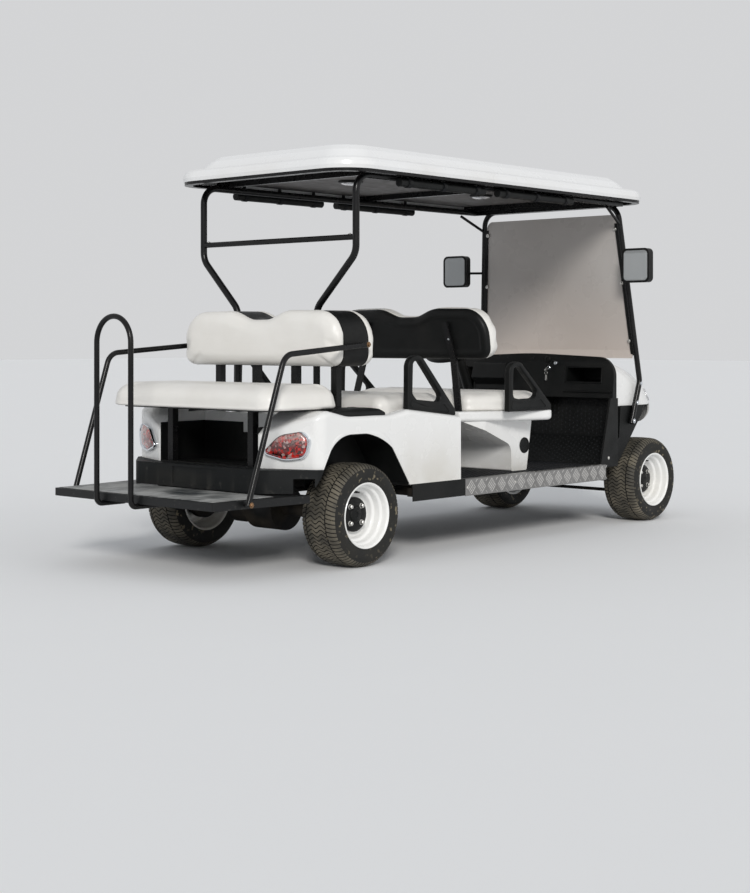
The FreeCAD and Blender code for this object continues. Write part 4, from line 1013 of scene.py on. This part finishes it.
def windshield_sheet():
    """Filmed sheet on the front hoop, its lower edge bent to a lip and its upper corners rounded."""
    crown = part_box("windshield")[1].z + 0.008
    up = (HOOP_TOP - HOOP_KNEE).normalized()
    out = Vector((up.z, 0, -up.x)).normalized()
    edge = 0.019
    # Height, how far back, how far inward of the struts' middles
    rows = [(0.905, 0.014, edge), (0.918, 0.0095, edge), (0.934, 0.0045, edge)]
    rows += [(z, 0, edge) for z in (0.95, 0.953, 1.1, 1.3, 1.5, crown - 0.04)]
    rows += [(crown - 0.02, 0, 0.024), (crown - 0.008, 0, 0.034), (crown, 0, 0.05)]
    wide, tall = 13, len(rows)
    points = []
    for face in (-0.002, 0.002):
        for z, back, inward in rows:
            left, right = (hoop_spot(z, side, inward) - out * (back - face) for side in (1, -1))
            points += [left.lerp(right, k / (wide - 1)) for k in range(wide)]
    layer = wide * tall
    faces = quads(tall, wide, around=False)
    faces += [tuple(layer + i for i in reversed(face)) for face in faces]
    border = list(range(wide)) + [k * wide + wide - 1 for k in range(1, tall)]
    border += [(tall - 1) * wide + i for i in reversed(range(wide - 1))]
    border += [k * wide for k in reversed(range(1, tall - 1))]
    faces += [(b, a, layer + a, layer + b) for a, b in zip(border, border[1:] + border[:1])]
    piece = mesh_object("filmed_windshield", points, faces, "windshield")
    crisp(piece, 12)
    keep(piece, "windshield_clear", "windshield")
    bolts("windshield_screws", [(hoop_spot(z, side, 0.03) - out * 0.01, -out, 0.007, "zinc")
                                for side in (-1, 1) for z in (1, 1.32, 1.62)])


def mirror_glasses():
    """Framed glass on each mirror's rear face."""
    outline = even([(-0.075, -0.082, 0.022), (0.075, -0.082, 0.022)])
    rim = [(a * 1.14, b * 1.12, r * 1.3) for a, b, r in outline]
    for side, word in SIDES:
        place = Matrix(((0, 0, -1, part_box("mirrors")[0].x), (-1, 0, 0, side * 0.629), (0, 1, 0, 1.409), (0, 0, 0, 1)))
        glass = stacked("glass", outline, ((-0.001, 0), (0.0012, 0.0005), (0.002, 0.006), (0.0025, 0.018)), place,
                        "mirror", 20)
        border = stacked("border", rim, ((-0.006, 0), (0, -0.0015), (0.003, 0), (0.004, 0.003), (0.0035, 0.0085),
                                         (0.0004, 0.0095)), place, "plastic")
        fit("mirror_glass_" + word, [glass, border])


def fastenings():
    """Screws and bolts where the photograph shows the pieces held."""
    # Place on the left, way, radius, finish, sides
    pairs = [
        # Armrest's lug and foot
        ((-0.905, 0.5575, 0.985), (0, 1, 0), 0.0085, "copper", 6),
        ((-1.6555, 0.5865, 0.325), (0, 1, 0), 0.008, "copper", 6),
        # Front strut's foot
        ((1.33356, 0.5645, 0.764), (0, 1, 0), 0.007, "chrome", 24),
        ((1.29508, 0.5645, 0.66), (0, 1, 0), 0.007, "chrome", 24),
        ((1.262, 0.5645, 0.56), (0, 1, 0), 0.0085, "chrome", 24),
        # Rear struts' cross bar, the rear bench's post, the rocker
        ((-0.934, 0.47, 1.482), (0, 0, 1), 0.0065, "zinc", 24),
        ((-1.3585, 0.33, 0.5), (-1, 0, 0), 0.006, "zinc", 6),
        ((-0.25, 0.6002, 0.302), (0, 1, 0), 0.005, "zinc", 24),
        ((0.13, 0.6002, 0.302), (0, 1, 0), 0.005, "zinc", 24),
    ]
    # Posts behind the middle row
    pairs += [((-0.9505, y, z), (-1, 0, 0), 0.006, "zinc", 24) for y in (0.13, 0.385) for z in (0.93, 1.03)]
    # Feet of the grab hoop, from below
    rows = [((x, y, 0.2935), (0, 0, -1), 0.0075, "zinc", 6) for y in (0.19, -0.04) for x in (-1.8, -1.74)]
    for side, _ in SIDES:
        rows += [((x, side * y, z), (u, side * v, w), *rest) for (x, y, z), (u, v, w), *rest in pairs]
        rows.append((*surface("front_bulkhead", (1.02, side, 0.37), (0, -side, 0)), 0.006, "zinc", 24))
    bolts("small_fastenings", rows)


def front_posts():
    """Plate and bolt at the head of each post behind the front row."""
    lean = math.tan(math.radians(8))
    way = Vector((-1, 0, -lean)).normalized()

    def at(height, y, stand):
        return Vector((0.02 - height * lean, y, 0.904 + height)) + way * stand

    covers = []
    for side in (-1, 1):
        corners = [at(height, side * y, 0.007)
                   for height, y in ((0.076, 0.275), (0.076, 0.297), (0.186, 0.285), (0.186, 0.263))]
        covers.append(slab("cover", corners, -way, 0.008, "steel"))
    fit("front_post_heads", covers, "black_steel")
    bolts("front_post_bolts", [(at(0.106, side * 0.284, 0.0085), way, 0.007, "chrome") for side in (-1, 1)])


def vents():
    """Round black grilles in the pod's sides."""
    radius, pitch = 0.0335, 0.0088
    for side, word in SIDES:
        place, _ = surface("front_pod", (0.405, side, 0.465), (0, -side, 0))
        parts = [lathe("bezel", ((0.0405, 0), (0.0405, 0.0025), (0.0385, 0.004), (0.0345, 0.0038), (radius, 0.0014),
                                 (0.0001, 0.001)), place, (0, side, 0), 48, "plastic", 35)]
        for k in range(-3, 4):
            reach = Vector((math.sqrt(radius ** 2 - (k * pitch) ** 2), 0, 0))
            middle = place + Vector((0, side * 0.0022, k * pitch))
            parts.append(pipe("bar", (middle - reach, middle + reach), 0.0016, "plastic"))
        fit("pod_vent_" + word, parts)


def on_dash(y, z, stand=0):
    """Point on the dashboard's rear face, or so far to the rear of it."""
    return surface("dashboard", (0.8, y, z), (1, 0, 0))[0] - Vector((stand, 0, 0))


def dash_fittings():
    """Key switch with its key, direction switch, pull knob, screws, and the lips of the pockets and shelves."""
    rear = (-1, 0, 0)
    parts = [lathe("knob", ((0.005, 0), (0.005, 0.01), (0.009, 0.012), (0.0115, 0.017), (0.011, 0.025),
                            (0.008, 0.029), (0.0001, 0.03)), on_dash(-0.186, 0.876), rear, 28, "chrome", 40),
             lathe("barrel", ((0.011, 0), (0.011, 0.01), (0.009, 0.012), (0.0001, 0.012)),
                   on_dash(-0.131, 0.85), rear, 24, "chrome", 40)]
    for y, z, r in ((-0.118, 0.897, 0.016), (-0.118, 0.86, 0.013), (-0.152, 0.884, 0.01)):
        parts.append(lathe("ring", ((r + 0.003, 0), (r + 0.003, 0.004), (r, 0.0065), (r * 0.72, 0.007),
                                    (r * 0.66, 0.003), (0.0001, 0.003)), on_dash(y, z), rear, 32, "plastic", 35))
    key = on_dash(-0.131, 0.85, 0.014)
    parts.append(slab("blade", [key + Vector(c) for c in ((-0.026, -0.011, -0.014), (-0.026, 0.011, -0.014),
                                                          (-0.004, 0.008, 0.006), (-0.004, -0.008, 0.006))],
                      (0.5, 0, -1), 0.002, "zinc"))
    fob = key + Vector((-0.022, 0, -0.018))
    turns = [math.pi / 6 * k for k in range(12)]
    parts.append(pipe("key ring", [fob + Vector((0, 0.009 * math.sin(t), -0.01 - 0.01 * math.cos(t))) for t in turns],
                      0.0009, "zinc", 6))
    parts.append(slab("fob", [fob + Vector((0, y, z)) for y, z in ((-0.006, -0.022), (0.006, -0.022), (0.006, -0.052),
                                                                   (-0.006, -0.052))], (1, 0, 0), 0.003, "zinc"))
    for y in (-0.44, -0.3, -0.02, 0.16, 0.34, 0.49):
        parts += bolt(on_dash(y, 0.905), rear, 0.0035, "steel")
    fit("dash_switches", parts)

    lips = []
    for y0, y1, z0, z1 in ((-0.482, -0.242, 0.77, 0.858), (0.392, 0.458, 0.716, 0.854)):
        corners = [on_dash(y, z, 0.001) for y, z in ((y0, z0), (y1, z0), (y1, z1), (y0, z1), (y0, z0))]
        lips.append(pipe("pocket", corners, 0.0032, "plastic"))
    for y0, y1 in ((-0.545, -0.235), (0.235, 0.545)):
        edge = [on_dash(y0 + (y1 - y0) * k / 6, 0.722, 0.002) for k in range(7)]
        lips.append(pipe("shelf", edge, 0.006, "plastic", 10))
    fit("dash_pocket_lips", lips)


def ceiling_fittings():
    """Two round lamps under the ceiling and the catches that hold the rolled side curtains."""
    for x, word in ((-0.42, "rear"), (0.62, "front")):
        place, down = (x, 0, 1.79), (0, 0, -1)
        parts = [lathe("lamp", ((0.062, 0), (0.062, 0.006), (0.058, 0.011), (0.05, 0.0125)), place, down, 40,
                       "plastic", 35),
                 lathe("lens", ((0.0495, 0.012), (0.044, 0.0165), (0.028, 0.0205), (0.0001, 0.022)), place, down, 40,
                       "head", 35)]
        fit("ceiling_lamp_" + word, parts, "lamp_clear")
    # Middle line and radius of a roll, half a strap's width and the outer radius of the strap
    y, z, radius, half = 0.546, 1.729, 0.0212, 0.013
    outer = radius * 1.09
    parts = []
    for side in (-1, 1):
        for x0, x1 in ((-0.685, -0.06), (0.052, 0.686)):
            for share in (0.1, 0.5, 0.9):
                x = x0 + (x1 - x0) * share
                parts.append(lathe("strap", ((radius, -half), (outer, -half), (outer, half), (radius, half)),
                                   (x, side * y, z), (1, 0, 0), 20, "mat", 40, closed=True))
                corners = [(x + dx, side * 0.5685, z + dz)
                           for dx, dz in ((-0.011, -0.009), (0.011, -0.009), (0.011, 0.009), (-0.011, 0.009))]
                parts.append(slab("buckle", corners, (0, side, 0), 0.003, "plastic"))
    fit("curtain_straps", parts)


def step_sheet():
    """Dusty metal sheet laid in the step's black frame."""
    outline = even([(-1.803, -0.51, 0.004), (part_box("rear_bumper")[0].x - 0.014, -0.52, 0.004)])
    sheet = stacked("step_sheet", outline, ((0, 0), (0.0012, 0), (0.0018, 0.001)),
                    Matrix.Translation((0, 0, 0.3414)), "step")
    keep(sheet, "step_plate")


# Stage

def build_stage():
    scene = bpy.context.scene
    scene.view_settings.view_transform = "Standard"
    data = bpy.data.cameras.new("camera")
    data.lens = CAMERA_LENS
    data.shift_y = CAMERA_SHIFT_Y
    camera = bpy.data.objects.new("camera", data)
    camera.location = CAMERA_PLACE
    camera.rotation_euler = (math.radians(90), 0, math.radians(CAMERA_YAW - 90))
    scene.collection.objects.link(camera)
    scene.camera = camera

    corners = [(x * FLOOR_REACH, y * FLOOR_REACH, 0) for x, y in ((-1, -1), (1, -1), (1, 1), (-1, 1))]
    mesh_object("studio_floor", corners, [(0, 1, 2, 3)], "floor", False)

    world = bpy.data.worlds.new("studio")
    scene.world = world
    world.use_nodes = True
    tree = world.node_tree
    sky = tree.nodes["Background"]
    sky.inputs["Color"].default_value = SKY_COLOR
    sky.inputs["Strength"].default_value = AMBIENT
    seen = add_node(tree, "Background", {"Color": HORIZON, "Strength": 1})
    path = add_node(tree, "LightPath").outputs
    rays = path["Is Camera Ray"]
    for kind in ("Is Glossy Ray", "Is Transmission Ray"):
        rays = add_node(tree, "Math", {0: rays, 1: path[kind]}, operation="MAXIMUM").outputs[0]
    blend = add_node(tree, "MixShader", {0: rays, 1: sky.outputs[0], 2: seen.outputs[0]})
    tree.links.new(blend.outputs[0], tree.nodes["World Output"].inputs[0])

    for name, (way, strength, spread) in LIGHTS.items():
        light = bpy.data.lights.new(name, "SUN")
        light.energy = strength
        light.angle = math.radians(spread)
        light.color = LIGHT_COLOR
        lamp = bpy.data.objects.new(name, light)
        lamp.rotation_euler = Vector(way).to_track_quat("Z", "Y").to_euler()
        scene.collection.objects.link(lamp)


MATERIALS = build_materials()
build_stage()
dress()
seat_cushions()
backrests()
wheels()
tail_lamps()
tray_covers()
hip_restraints()
arch_lips()
sill_pattern()
floor_studs()
windshield_sheet()
mirror_glasses()
fastenings()
front_posts()
vents()
dash_fittings()
ceiling_fittings()
step_sheet()
